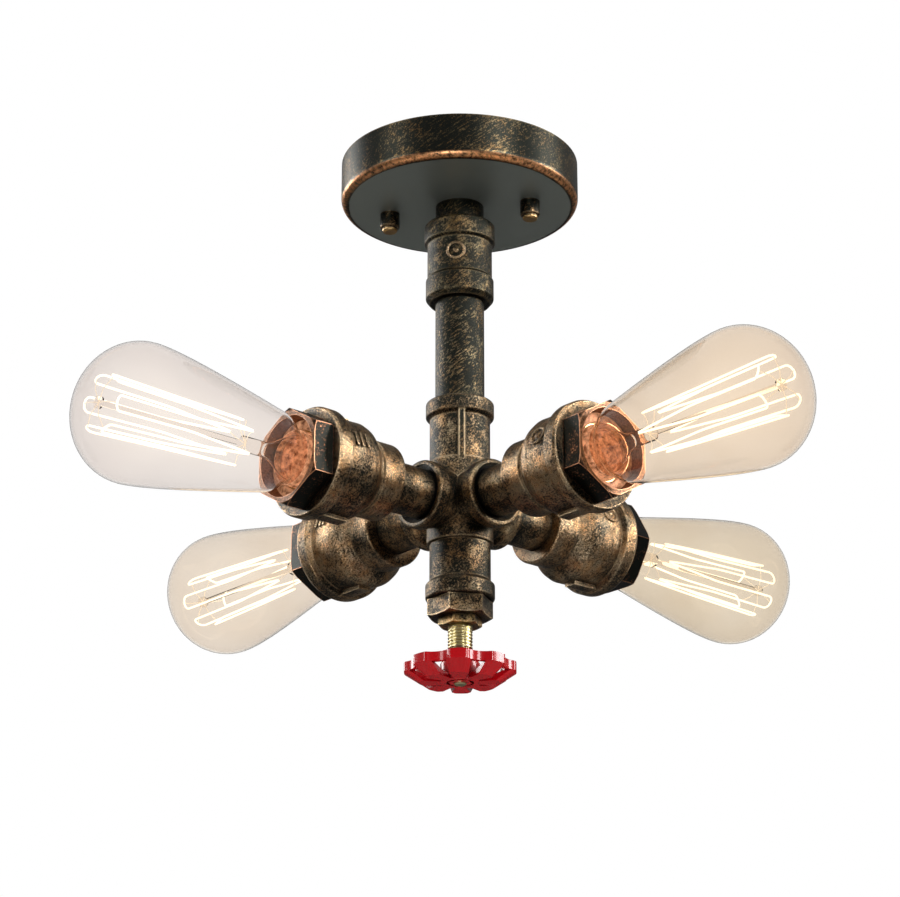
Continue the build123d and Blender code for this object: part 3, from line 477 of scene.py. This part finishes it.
# %% [markdown]
# The handwheel is dipped in red enamel. Shade makes it read almost black in the hollows between the
# ribs, so an ambient occlusion node paints that shade into its colour there.

# %% Wheel enamel
def enamel(name, colour, painted_shade_colour):
    material = plain(name, colour, 0.26, size=60.0, coat=0.3)
    tree = material.node_tree
    # Painted shade: the enamel is darkened to near black where the occlusion finds a hollow.
    occlusion = add(tree, "AmbientOcclusion", samples=6)
    feed(tree, occlusion, Distance=0.012)
    open_face = ramp(tree, occlusion.outputs["AO"], 0.25, 0.85)
    shader = tree.nodes["Principled BSDF"]
    feed(tree, shader, Base_Color=mix_colour(tree, open_face, painted_shade_colour, colour))
    shader.inputs["Specular IOR Level"].default_value = 0.3
    return material


# The second colour is painted shade, for the hollows between the ribs.
wheel_enamel = enamel("wheel_enamel", (0.40, 0.0, 0.003, 1.0), (0.07, 0.0, 0.002, 1.0))
print("enamel ready")

# %% [markdown]
# The lamp holders and caps sit deep in the bushings, right behind the glowing wires, and the photograph
# shows them as lit copper. A little emission in the same colour stands for the light that they catch.

# %% Lit copper
GLOW_LOW = (0.14, 0.045, 0.018, 1.0)
GLOW_HIGH = (0.95, 0.46, 0.24, 1.0)
SHADE = 0.25                    # the dark patches' share of the colour


def lit_copper(name, colour, rough, glow_strength):
    material = plain(name, colour, rough, metallic=0.7, drift=0.4, size=260.0, grain=0.08)
    tree = material.node_tree
    shader = tree.nodes["Principled BSDF"]
    where = add(tree, "TexCoord").outputs["Object"]
    patches = ramp(tree, noise(tree, where, 320.0, 4.0, 0.7), 0.36, 0.64)
    shade = [SHADE * channel for channel in colour[:3]] + [1.0]
    lit = mix_colour(tree, patches, GLOW_LOW, GLOW_HIGH)
    feed(tree, shader, Base_Color=mix_colour(tree, patches, shade, colour), Emission_Color=lit)
    shader.inputs["Emission Strength"].default_value = glow_strength
    return material


holder_ceramic = lit_copper("holder_ceramic", (0.28, 0.11, 0.05, 1.0), 0.45, 0.52)
cap_brass = lit_copper("cap_brass", (0.66, 0.32, 0.17, 1.0), 0.28, 0.66)
print("lit copper", 2)

# %% [markdown]
# The bulbs are thin amber glass, and each reads a little different in the photograph, because each arm's
# bulb is lit differently: the one on arm 4 is a pinkish grey and the one on arm 2 is the deepest. So the tint
# depends on which arm a point is on, which is painted light over one and the same glass.
# The walls are modelled as real double walls, and light is tinted at each of the four surfaces that it
# crosses, so each tint is pale. A faint cream emission over the wire stands for the haze of a lit bulb.

# %% Glass and glow
# One amber glass; the differences between these per-arm tints are painted light.
ARM_LIT_GLASS_TINTS = (
    (0.880, 0.780, 0.671, 1.0), (0.815, 0.735, 0.625, 1.0),
    (0.870, 0.795, 0.711, 1.0), (0.885, 0.840, 0.812, 1.0),
)
ARM_LIT_STEM_TINTS = ((0.93, 0.86, 0.78, 1.0),) * 3 + ((0.93, 0.88, 0.84, 1.0),)
PALE_GLASS = (0.96, 0.95, 0.93, 1.0)
LIT_GLASS = (1.0, 0.92, 0.72, 1.0)
DARK = (0.0, 0.0, 0.0, 1.0)
HAZE_RISE = (BULB_START + 0.02, BULB_START + 0.06)
HAZE_FALL = (BULB_START + 0.14, BULB_START + 0.10)
NEAR_AXIS = 0.02                # within this of the stem, two arms' tints run into each other


def lit_haze(tree, along):
    """Cream light that a burning wire leaves on its glass: strongest where the wall faces the viewer."""
    facing = add(tree, "LayerWeight").outputs["Facing"]
    centre = ramp(tree, facing, 0.34, 0.0)
    near_wire = math(tree, "MULTIPLY", ramp(tree, along, *HAZE_RISE), ramp(tree, along, *HAZE_FALL))
    return mix_colour(tree, math(tree, "MULTIPLY", centre, near_wire), DARK, LIT_GLASS)


def glass(name, tints_as_lit, refraction, haze=0.0):
    """Clear glass with one tint for each arm, in the arms' order: +X, +Y, -X, -Y. The differences between
    arms are painted light.
    """
    material, tree, shader = new_material(name)
    apart = add(tree, "SeparateXYZ")
    where = add(tree, "TexCoord").outputs["Object"]
    tree.links.new(where, apart.inputs[0])
    x, y = apart.outputs[:2]
    along_x = mix_colour(tree, ramp(tree, x, -NEAR_AXIS, NEAR_AXIS), tints_as_lit[2], tints_as_lit[0])
    along_y = mix_colour(tree, ramp(tree, y, -NEAR_AXIS, NEAR_AXIS), tints_as_lit[3], tints_as_lit[1])
    far_x, far_y = math(tree, "ABSOLUTE", x), math(tree, "ABSOLUTE", y)
    nearer_x = math(tree, "GREATER_THAN", far_x, far_y)
    # Which arm's tint a point gets: painted light, as each arm's bulb is lit differently.
    tint = mix_colour(tree, nearer_x, along_y, along_x)
    paler = mix_colour(tree, 0.25, tint, PALE_GLASS)
    veil = ramp(tree, noise(tree, where, 18.0, 2.0), 0.3, 0.7)
    feed(tree, shader, Base_Color=mix_colour(tree, veil, tint, paler))
    shader.inputs["Transmission Weight"].default_value = 1.0
    shader.inputs["Roughness"].default_value = 0.02
    shader.inputs["IOR"].default_value = refraction
    shader.inputs["Specular IOR Level"].default_value = 0.15
    feed(tree, shader, Emission_Color=lit_haze(tree, math(tree, "MAXIMUM", far_x, far_y)))
    shader.inputs["Emission Strength"].default_value = haze
    return material


def glow(name, colour, strength):
    material, tree, shader = new_material(name)
    where = add(tree, "TexCoord").outputs["Object"]
    clouds = ramp(tree, noise(tree, where, 40.0), 0.35, 0.65)
    hotter = mix_colour(tree, clouds, colour, (1.0, 0.94, 0.80, 1.0))
    feed(tree, shader, Base_Color=colour, Emission_Color=hotter)
    shader.inputs["Emission Strength"].default_value = strength
    return material


clear_glass = glass("clear_glass", ARM_LIT_GLASS_TINTS, 1.2, haze=0.06)
stem_glass = glass("stem_glass", ARM_LIT_STEM_TINTS, 1.03)
filament_glow = glow("filament_glow", (1.0, 0.88, 0.68, 1.0), 1.32)
# The support wires are no lamp: their faint glow is painted light, the shine of the burning wire on them.
support_wire = glow("support_wire", (0.80, 0.70, 0.56, 1.0), 0.55)
print("glass and glow ready")

# %% [markdown]
# Each CAD node gets its finish by name. A node's own mesh isn't touched; only its material slot is.

# %% Finishes on the CAD nodes
FINISHES = {
    "canopy": canopy_bronze, "mounting_strap": zinc_steel, "strap_studs": zinc_steel,
    "cap_nuts": nut_bronze,
    "canopy_nipple": pipe_bronze, "nipple_locknut": zinc_steel, "terminal_block": white_plastic,
    "terminal_screws": brass, "earth_screw": brass, "earth_lead": earth_insulation,
    "top_coupling": coupling_bronze, "stem_pipe": pipe_bronze, "six_way_cross": cross_bronze,
    "bottom_plug": cast_bronze, "gland_nut": aged_brass, "valve_stem": spindle_brass,
    "handwheel": wheel_enamel, "wheel_nut": wheel_enamel, "lamp_leads": lead_insulation,
    "screw_shells": brass, "centre_contacts": brass, "arm_nipple": cast_bronze, "lamp_cup": cup_bronze,
    "hex_bushing": bushing_bronze, "lampholder": holder_ceramic, "bulb_glass": clear_glass,
    "bulb_cap": cap_brass, "glass_stem": stem_glass, "filament": filament_glow, "support_wires": support_wire,
}
for name, node in nodes.items():
    stem = name.rsplit("_", 1)[0] if name[-1].isdigit() else name
    node.data.materials.clear()
    node.data.materials.append(FINISHES[stem])
print("finishes set on", len(nodes))

# %% [markdown]
# ## Bulbs
# A blown bulb is one smooth curve from neck to crown. The outline is two cubic curves and a quarter
# ellipse, sampled finely, doubled back as an inner wall and turned on the lathe.

# %% Bulb glass
GLASS_WALL = 0.8 * MM
NECK_AT = 39.9 * MM
NECK_RADIUS = 19.5 * MM
WIDEST_AT = 112.5 * MM
THROAT_RADIUS = CAP_RADIUS - 0.5 * MM
FLANK_START = 1.21
QUARTER_HANDLE = 0.5523         # makes a cubic curve run along a quarter circle
FLARE_STEPS, FLANK_STEPS, CROWN_STEPS = 12, 24, 20
BULB_SIDES = 96


def cubic(points, steps):
    """Points along a cubic curve, without its first one."""
    start, first, second, end = (Vector(point) for point in points)
    line = []
    for step in range(1, steps + 1):
        t = step / steps
        s = 1 - t
        line.append(start * s**3 + first * (3 * s * s * t) + second * (3 * s * t * t) + end * t**3)
    return line


def glass_line(inset):
    """(radius, height) points of one wall, from the foot to the crown."""
    widest = GLASS_RADIUS - inset
    neck = NECK_RADIUS - inset
    throat = THROAT_RADIUS - inset
    top = GLASS_END - inset
    flank = WIDEST_AT - NECK_AT
    flare = NECK_AT - CAP_LENGTH
    slope = FLANK_START * (widest - neck) / flank
    rise = top - WIDEST_AT
    line = [Vector((throat, GLASS_START)), Vector((throat, CAP_LENGTH))]
    line += cubic(((throat, CAP_LENGTH), (throat, CAP_LENGTH + flare / 3),
                   (neck - slope * flare / 2, NECK_AT - flare / 2), (neck, NECK_AT)), FLARE_STEPS)
    line += cubic(((neck, NECK_AT), (neck + slope * flank / 3, NECK_AT + flank / 3),
                   (widest, WIDEST_AT - flank / 6), (widest, WIDEST_AT)), FLANK_STEPS)
    line += cubic(((widest, WIDEST_AT), (widest, WIDEST_AT + QUARTER_HANDLE * rise),
                   (QUARTER_HANDLE * widest, top), (0, top)), CROWN_STEPS)
    return line


def bulb_place(number):
    return arm_matrix(number) @ Matrix.Translation((0, 0, BULB_START))


for number in ARMS:
    outline = list(reversed(glass_line(0.0))) + glass_line(GLASS_WALL)
    bulb = lathe(f"blown_glass_{number}", outline, BULB_SIDES, bulb_place(number))
    dress(bulb, clear_glass, f"bulb_{number}", "clear_glass", f"bulb_glass_{number}")
print("bulb faces", len(bulb.data.polygons))

# %% [markdown]
# The filament is one wire that runs up and down between two rings of hooks. At the tip it bends round
# each hook in a small arc. At the base the strands draw together in pairs, so each pair ends in a
# point. The photograph shows the whole cage nearer to the crown than the CAD solid has it, so it is
# shifted, and the stem grows with it. A curve with a round bevel makes a wire, and it is turned into a
# mesh at the end.

# %% Filament cage
STRANDS = 12
CAGE_SHIFT = 14.0 * MM
CAGE_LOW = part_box("filament_1")[0][0] - BULB_START + CAGE_SHIFT
CAGE_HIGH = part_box("filament_1")[1][0] - BULB_START + CAGE_SHIFT
CAGE_LOW_RADIUS = 10.5 * MM
CAGE_HIGH_RADIUS = 13.4 * MM
WIRE_RADIUS = 0.5 * MM
TIP_BEND = 0.03                 # share of the cage's length that an arc takes
POINT_START = 0.45              # share of the length below which a pair draws together
POINT_GAP = 0.12                # what is left between a pair at the base, in strand spacings
STRAND_STEPS, BEND_STEPS = 16, 6


def cage_point(turn, share):
    """A point on the cage: turn counts strands, share runs from the base ring to the tip ring."""
    radius = CAGE_LOW_RADIUS + (CAGE_HIGH_RADIUS - CAGE_LOW_RADIUS) * share
    angle = 2 * pi * turn / STRANDS
    return Vector((radius * cos(angle), radius * sin(angle), CAGE_LOW + (CAGE_HIGH - CAGE_LOW) * share))


def strand_turn(strand, share):
    """Where a strand is round the cage. Strands 1 and 2 meet at the base, then 3 and 4, and so on."""
    towards = 0.5 if strand % 2 else -0.5
    drawn = max(0.0, 1.0 - share / POINT_START) * (1.0 - POINT_GAP)
    return strand + towards * drawn


def cage_route():
    route = []
    for strand in range(STRANDS):
        shares = [(1 - TIP_BEND) * step / STRAND_STEPS for step in range(STRAND_STEPS + 1)]
        if strand % 2:
            shares.reverse()
        route += [cage_point(strand_turn(strand, share), share) for share in shares]
        if strand % 2 == 0:
            for step in range(1, BEND_STEPS):
                angle = pi * step / BEND_STEPS
                share = 1 - TIP_BEND + TIP_BEND * sin(angle)
                route.append(cage_point(strand + 0.5 - 0.5 * cos(angle), share))
    return route


def wires(name, routes, radius, place):
    curve = bpy.data.curves.new(name, "CURVE")
    curve.dimensions = "3D"
    curve.bevel_depth = radius
    curve.bevel_resolution = 2
    curve.use_fill_caps = True
    for route in routes:
        spline = curve.splines.new("POLY")
        spline.points.add(len(route) - 1)
        for point, at in zip(spline.points, route):
            point.co = (*at, 1.0)
    draft = bpy.data.objects.new(name + "_draft", curve)
    mesh = bpy.data.meshes.new_from_object(draft)
    bpy.data.objects.remove(draft)
    bpy.data.curves.remove(curve)
    shaped = bmesh.new()
    shaped.from_mesh(mesh)
    bpy.data.meshes.remove(mesh)
    bmesh.ops.transform(shaped, matrix=place, verts=shaped.verts)
    return finished(name, shaped)


for number in ARMS:
    cage = wires(f"filament_wire_{number}", [cage_route()], WIRE_RADIUS, bulb_place(number))
    dress(cage, filament_glow, f"bulb_{number}", "filament_glow", f"filament_{number}")
print("filament faces", len(cage.data.polygons))

# %% [markdown]
# The glass stem is a hollow flare pinched to a flat press, with a thin rod up the middle and a button
# at its end. Modelled with a thin wall it lets the copper of the cap show through it.

# %% Glass stem
FLARE_RADIUS = (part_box("glass_stem_1")[1][2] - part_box("glass_stem_1")[0][2]) / 2
STEM_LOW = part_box("glass_stem_1")[0][0] - BULB_START
STEM_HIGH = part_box("glass_stem_1")[1][0] - BULB_START + CAGE_SHIFT
PRESS_RADIUS = 3.6 * MM
ROD_RADIUS = 1.3 * MM
BUTTON_RADIUS = 2.8 * MM
STEM_WALL = 0.7 * MM
PRESS_TOP = STEM_LOW + 24.0 * MM + CAGE_SHIFT / 2
PRESS_LENGTH = 13.0 * MM
FLARE_HANDLE = 5.0 * MM
STEM_SIDES = 48


def stem_outline():
    """From the inside of the flare, down round its rim and up to the button."""
    press_low = PRESS_TOP - PRESS_LENGTH
    flare = [Vector((FLARE_RADIUS, STEM_LOW))]
    flare += cubic(((FLARE_RADIUS, STEM_LOW), (FLARE_RADIUS, STEM_LOW + FLARE_HANDLE),
                    (PRESS_RADIUS, press_low - FLARE_HANDLE), (PRESS_RADIUS, press_low)), 10)
    inner = [Vector((point.x - STEM_WALL, point.y)) for point in flare]
    closed = inner[::-1]
    closed.insert(0, Vector((0, press_low + 1 * MM)))
    top = [(PRESS_RADIUS, PRESS_TOP), (ROD_RADIUS, PRESS_TOP + 2 * MM), (ROD_RADIUS, STEM_HIGH - 3 * MM)]
    top += [(BUTTON_RADIUS, STEM_HIGH - 2.6 * MM), (BUTTON_RADIUS, STEM_HIGH - 0.8 * MM), (0, STEM_HIGH)]
    return closed + flare + [Vector(point) for point in top]


for number in ARMS:
    stem = lathe(f"stem_flare_{number}", stem_outline(), STEM_SIDES, bulb_place(number))
    dress(stem, stem_glass, f"bulb_{number}", "stem_glass", f"glass_stem_{number}")
print("stem faces", len(stem.data.polygons))

# %% [markdown]
# Thin wires hold the cage: six hooks fan out from the button at the end of the rod to the arcs at the
# tip, and six more rise from the press to the points at the base.

# %% Support wires
SUPPORT_RADIUS = 0.22 * MM
BUTTON_AT = Vector((0, 0, STEM_HIGH - 1.7 * MM))
PRESS_AT = Vector((0, 0, PRESS_TOP - 2.0 * MM))


def support_routes():
    routes = []
    for pair in range(STRANDS // 2):
        hook = cage_point(2 * pair + 0.5, 1.0)
        routes.append([BUTTON_AT, BUTTON_AT.lerp(hook, 0.5) + Vector((0, 0, 1.5 * MM)), hook])
    for turn in [0] + [2 * pair + 1.5 for pair in range(STRANDS // 2 - 1)] + [STRANDS - 1]:
        foot = cage_point(turn, 0.0)
        routes.append([PRESS_AT, PRESS_AT.lerp(foot, 0.6) + Vector((0, 0, 1.0 * MM)), foot])
    return routes


for number in ARMS:
    supports = wires(f"support_wire_{number}", support_routes(), SUPPORT_RADIUS, bulb_place(number))
    dress(supports, support_wire, f"bulb_{number}", "support_wire", f"support_wires_{number}")
print("support faces", len(supports.data.polygons))

# %% [markdown]
# ## Valve stem
# The brass spindle is threaded where it shows. Its thread is drawn as fine rings on the lathe, which
# look the same as a helix at this size.

# %% Threaded spindle
STEM_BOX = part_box("valve_stem")
SPINDLE_RADIUS = 5.9 * MM
TANG_RADIUS = 3.0 * MM
COLLAR_RADIUS = (STEM_BOX[1][0] - STEM_BOX[0][0]) / 2
HUB_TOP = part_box("handwheel")[1][2]
GLAND_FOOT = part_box("gland_nut")[0][2]
THREAD_PITCH = 1.6 * MM
THREAD_DEPTH = 0.7 * MM
COLLAR_LENGTH = 2.5 * MM
TANG_EDGE = 0.6 * MM
SPINDLE_SIDES = 64


def spindle_outline():
    low, high = STEM_BOX[0][2], STEM_BOX[1][2]
    root = SPINDLE_RADIUS - THREAD_DEPTH
    line = [(0, low), (TANG_RADIUS - TANG_EDGE, low), (TANG_RADIUS, low + TANG_EDGE)]
    line += [(TANG_RADIUS, HUB_TOP), (root, HUB_TOP)]
    rings = int((GLAND_FOOT - HUB_TOP) / THREAD_PITCH)
    for ring in range(rings):
        at = HUB_TOP + ring * THREAD_PITCH
        line += [(root, at + 0.2 * THREAD_PITCH), (SPINDLE_RADIUS, at + 0.5 * THREAD_PITCH)]
        line += [(SPINDLE_RADIUS, at + 0.7 * THREAD_PITCH), (root, at + THREAD_PITCH)]
    line += [(SPINDLE_RADIUS, GLAND_FOOT), (SPINDLE_RADIUS, high - COLLAR_LENGTH)]
    line += [(COLLAR_RADIUS, high - COLLAR_LENGTH), (COLLAR_RADIUS, high), (0, high)]
    return line


spindle = lathe("threaded_spindle", spindle_outline(), SPINDLE_SIDES)
dress(spindle, spindle_brass, "valve", "brass", "valve_stem")
spindle.data.set_sharp_from_angle(angle=radians(30))
print("spindle faces", len(spindle.data.polygons))

# %% [markdown]
# ## Cast marks
# The castings carry small raised marks: a plain ring with a dot and a row of three bars on every cup, and
# a ring on the coupling. A mark is modelled flat, facing +Z, and reaches a little under the surface, so
# that its foot is hidden in the round barrel.

# %% Raised marks
CUP_BARREL_RADIUS = 23.5 * MM
CUP_MARK_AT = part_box("lamp_cup_1")[1][0] - 15.4 * MM
CUP_MARK_TURN = radians(70)
COUPLING_BARREL_RADIUS = 16.0 * MM
COUPLING_MARK_TURN = radians(-48)
COUPLING_MARK_RISE = 1.5 * MM
RING_OUTLINE = (
    (0, 0.6), (1.3, 0.6), (1.7, -0.8), (3.3, -0.8), (3.6, 0.6), (4.7, 0.6), (5.0, -1.2), (0, -1.2)
)                               # radius and height in mm
RING_SIDES = 32
BAR_SIZE = (1.3 * MM, 7.5 * MM, 1.6 * MM)
BAR_PITCH = 3.1 * MM


def bars(name, place):
    row = bmesh.new()
    for step in (-1, 0, 1):
        at = Matrix.Translation((step * BAR_PITCH, 0, -0.1 * MM))
        bmesh.ops.create_cube(row, size=1.0, matrix=at @ Matrix.Diagonal((*BAR_SIZE, 1)))
    bmesh.ops.bevel(
        row, geom=row.edges[:], offset=0.2 * MM, segments=2, profile=0.5, affect="EDGES", material=-1
    )
    bmesh.ops.recalc_face_normals(row, faces=row.faces)
    bmesh.ops.transform(row, matrix=place, verts=row.verts)
    return finished(name, row)


def on_barrel(start, turn, radius, height):
    """From a barrel's own axes to a mark's: +Z points out of the barrel, turned round its axis."""
    outwards = Matrix.Translation((radius, 0, height)) @ Matrix.Rotation(pi / 2, 4, "Y")
    return start @ Matrix.Rotation(turn, 4, "Z") @ outwards


ring = [(radius * MM, height * MM) for radius, height in RING_OUTLINE]
for number in ARMS:
    ring_place = on_barrel(arm_matrix(number), CUP_MARK_TURN, CUP_BARREL_RADIUS, CUP_MARK_AT)
    bar_place = on_barrel(arm_matrix(number), -CUP_MARK_TURN, CUP_BARREL_RADIUS, CUP_MARK_AT)
    dress(lathe(f"cup_ring_mark_{number}", ring, RING_SIDES, ring_place), cup_bronze, "body", "cup_bronze")
    dress(bars(f"cup_bar_mark_{number}", bar_place), cup_bronze, "body", "cup_bronze")
low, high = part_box("top_coupling")
mark_height = (low[2] + high[2]) / 2 + COUPLING_MARK_RISE
coupling_place = on_barrel(Matrix(), COUPLING_MARK_TURN, COUPLING_BARREL_RADIUS, mark_height)
dress(lathe("coupling_ring_mark", ring, RING_SIDES, coupling_place), cup_bronze, "body", "cast_bronze")
print("marks", 2 * len(ARMS) + 1)

# %% [markdown]
# ## Studio
# The light hangs in front of plain white, seen from below. The floor is far under it, and glows by
# itself to the camera, more with distance, so that it is white up to the horizon. The world is white to
# the camera and to whatever is seen through glass. Gloss shows the same backdrop dimmed, because brushed
# bronze would wash out to grey in a full white one, and as a light source it is dim.

# %% Floor, world and lamps
FLOOR_HEIGHT = -1.1
FLOOR_HALF = 40.0
FLOOR_TONES = ((0.84, 0.84, 0.83, 1.0), (0.88, 0.88, 0.87, 1.0))
FLOOR_IN_GLOSS = (0.2, 0.2, 0.2, 1.0)
GLOW_NEAR = (0.62, 0.62, 0.62, 1.0)
GLOW_FAR = (1.0, 1.0, 1.0, 1.0)
GLOW_SPAN = (1.2, 5.0)          # metres from the middle, from near to far
WORLD_LIGHT = 0.12
GLOSS_SHARE = 0.06
OBJECT_MIDDLE = (cad_box[0] + cad_box[1]) / 2
SOFTBOXES = (                   # name, place, side in metres, watts
    ("key_left", (-0.4, -1.7, 0.35), 0.6, 10.0),
    ("key_right", (1.75, -0.1, 0.35), 0.5, 20.0),
    ("low_front", (0.9, -1.15, -0.75), 0.35, 5.0),
    ("overhead", (0.25, -0.35, 1.3), 0.8, 14.0),
    ("rim_left", (-1.4, -0.4, 0.3), 0.6, 12.0),
    ("rim_right", (1.1, 1.2, 0.3), 0.6, 22.0),
)


def make_floor():
    ground = bmesh.new()
    bmesh.ops.create_grid(ground, x_segments=1, y_segments=1, size=FLOOR_HALF)
    bmesh.ops.translate(ground, verts=ground.verts, vec=(0, 0, FLOOR_HEIGHT))
    floor = finished("studio_floor", ground)
    material, tree, shader = new_material("studio_floor")
    where = add(tree, "TexCoord").outputs["Object"]
    tone = mix_colour(tree, noise(tree, where, 3.0), *FLOOR_TONES)
    path = add(tree, "LightPath").outputs
    seen = math(tree, "MAXIMUM", path["Is Camera Ray"], path["Is Transmission Ray"])
    dimmed = mix_colour(tree, path["Is Glossy Ray"], tone, FLOOR_IN_GLOSS)
    away = add(tree, "VectorMath", operation="LENGTH")
    tree.links.new(where, away.inputs[0])
    own_light = mix_colour(tree, ramp(tree, away.outputs["Value"], *GLOW_SPAN), GLOW_NEAR, GLOW_FAR)
    lit_floor = mix_colour(tree, seen, DARK, own_light)
    feed(tree, shader, Base_Color=dimmed, Roughness=0.7, Emission_Color=lit_floor)
    shader.inputs["Emission Strength"].default_value = 1.0
    see_through = add(tree, "BsdfTransparent")
    choose = add(tree, "MixShader")
    output = tree.nodes["Material Output"]
    tree.links.new(add(tree, "NewGeometry").outputs["Backfacing"], choose.inputs[0])
    tree.links.new(shader.outputs[0], choose.inputs[1])
    tree.links.new(see_through.outputs[0], choose.inputs[2])
    tree.links.new(choose.outputs[0], output.inputs["Surface"])
    floor.data.materials.append(material)


def make_world():
    world = bpy.data.worlds.new("studio")
    bpy.context.scene.world = world
    world.use_nodes = True
    tree = world.node_tree
    back = tree.nodes["Background"]
    path = add(tree, "LightPath").outputs
    seen = math(tree, "MINIMUM", path["Transmission Depth"], 1.0)
    for ray in ("Is Transmission Ray", "Is Camera Ray"):
        seen = math(tree, "MAXIMUM", path[ray], seen)
    seen = math(tree, "MAXIMUM", seen, math(tree, "MULTIPLY", path["Is Glossy Ray"], GLOSS_SHARE))
    strength = math(tree, "ADD", math(tree, "MULTIPLY", seen, 1.0 - WORLD_LIGHT), WORLD_LIGHT)
    feed(tree, back, Color=(1.0, 1.0, 1.0, 1.0), Strength=strength)


def objects_but_glass():
    """The softboxes would show as hard white windows on the bulbs, so the glass isn't lit by them."""
    lit = bpy.data.collections.new("lit_by_softboxes")
    for piece in bpy.context.scene.objects:
        if piece.type == "MESH" and piece.data.materials[0] not in (clear_glass, stem_glass):
            lit.objects.link(piece)
    return lit


def softbox(name, at, size, power):
    data = bpy.data.lights.new(name, "AREA")
    data.energy = power
    data.size = size
    lamp = bpy.data.objects.new(name, data)
    lamp.location = at
    lamp.rotation_euler = (OBJECT_MIDDLE - Vector(at)).to_track_quat("-Z", "Y").to_euler()
    lamp.light_linking.receiver_collection = lit_pieces
    bpy.context.scene.collection.objects.link(lamp)


make_floor()
make_world()
lit_pieces = objects_but_glass()
for settings in SOFTBOXES:
    softbox(*settings)
print("softboxes", len(SOFTBOXES))

# %% [markdown]
# ## Camera
# The photograph was taken from below, between arm 1 and arm 4, with a long lens. These values come from
# a perspective fit of the bulbs, the plate and the fittings.

# %% Camera
VIEW_AZIMUTH = radians(48.81)
VIEW_DISTANCE = 1.2535
VIEW_DROP = 0.4352      # camera under the arms
VIEW_PITCH = radians(20.33)
VIEW_YAW = radians(0.22)
FOCAL_PIXELS = 2759.9
IMAGE_WIDTH = 900.0
SENSOR_WIDTH = 36.0


def make_camera():
    data = bpy.data.cameras.new("photo_camera")
    data.sensor_width = SENSOR_WIDTH
    data.lens = data.sensor_width * FOCAL_PIXELS / IMAGE_WIDTH
    data.clip_end = 50.0
    camera = bpy.data.objects.new("photo_camera", data)
    turn = VIEW_AZIMUTH + VIEW_YAW
    ahead = Vector((-sin(turn) * cos(VIEW_PITCH), cos(turn) * cos(VIEW_PITCH), sin(VIEW_PITCH)))
    camera.location = (
        VIEW_DISTANCE * sin(VIEW_AZIMUTH), -VIEW_DISTANCE * cos(VIEW_AZIMUTH), ARM_HEIGHT - VIEW_DROP
    )
    camera.rotation_euler = ahead.to_track_quat("-Z", "Y").to_euler()
    bpy.context.scene.collection.objects.link(camera)
    bpy.context.scene.camera = camera
    return camera


camera = make_camera()
bpy.context.scene.view_settings.view_transform = "Standard"
print("lens", round(camera.data.lens, 1))
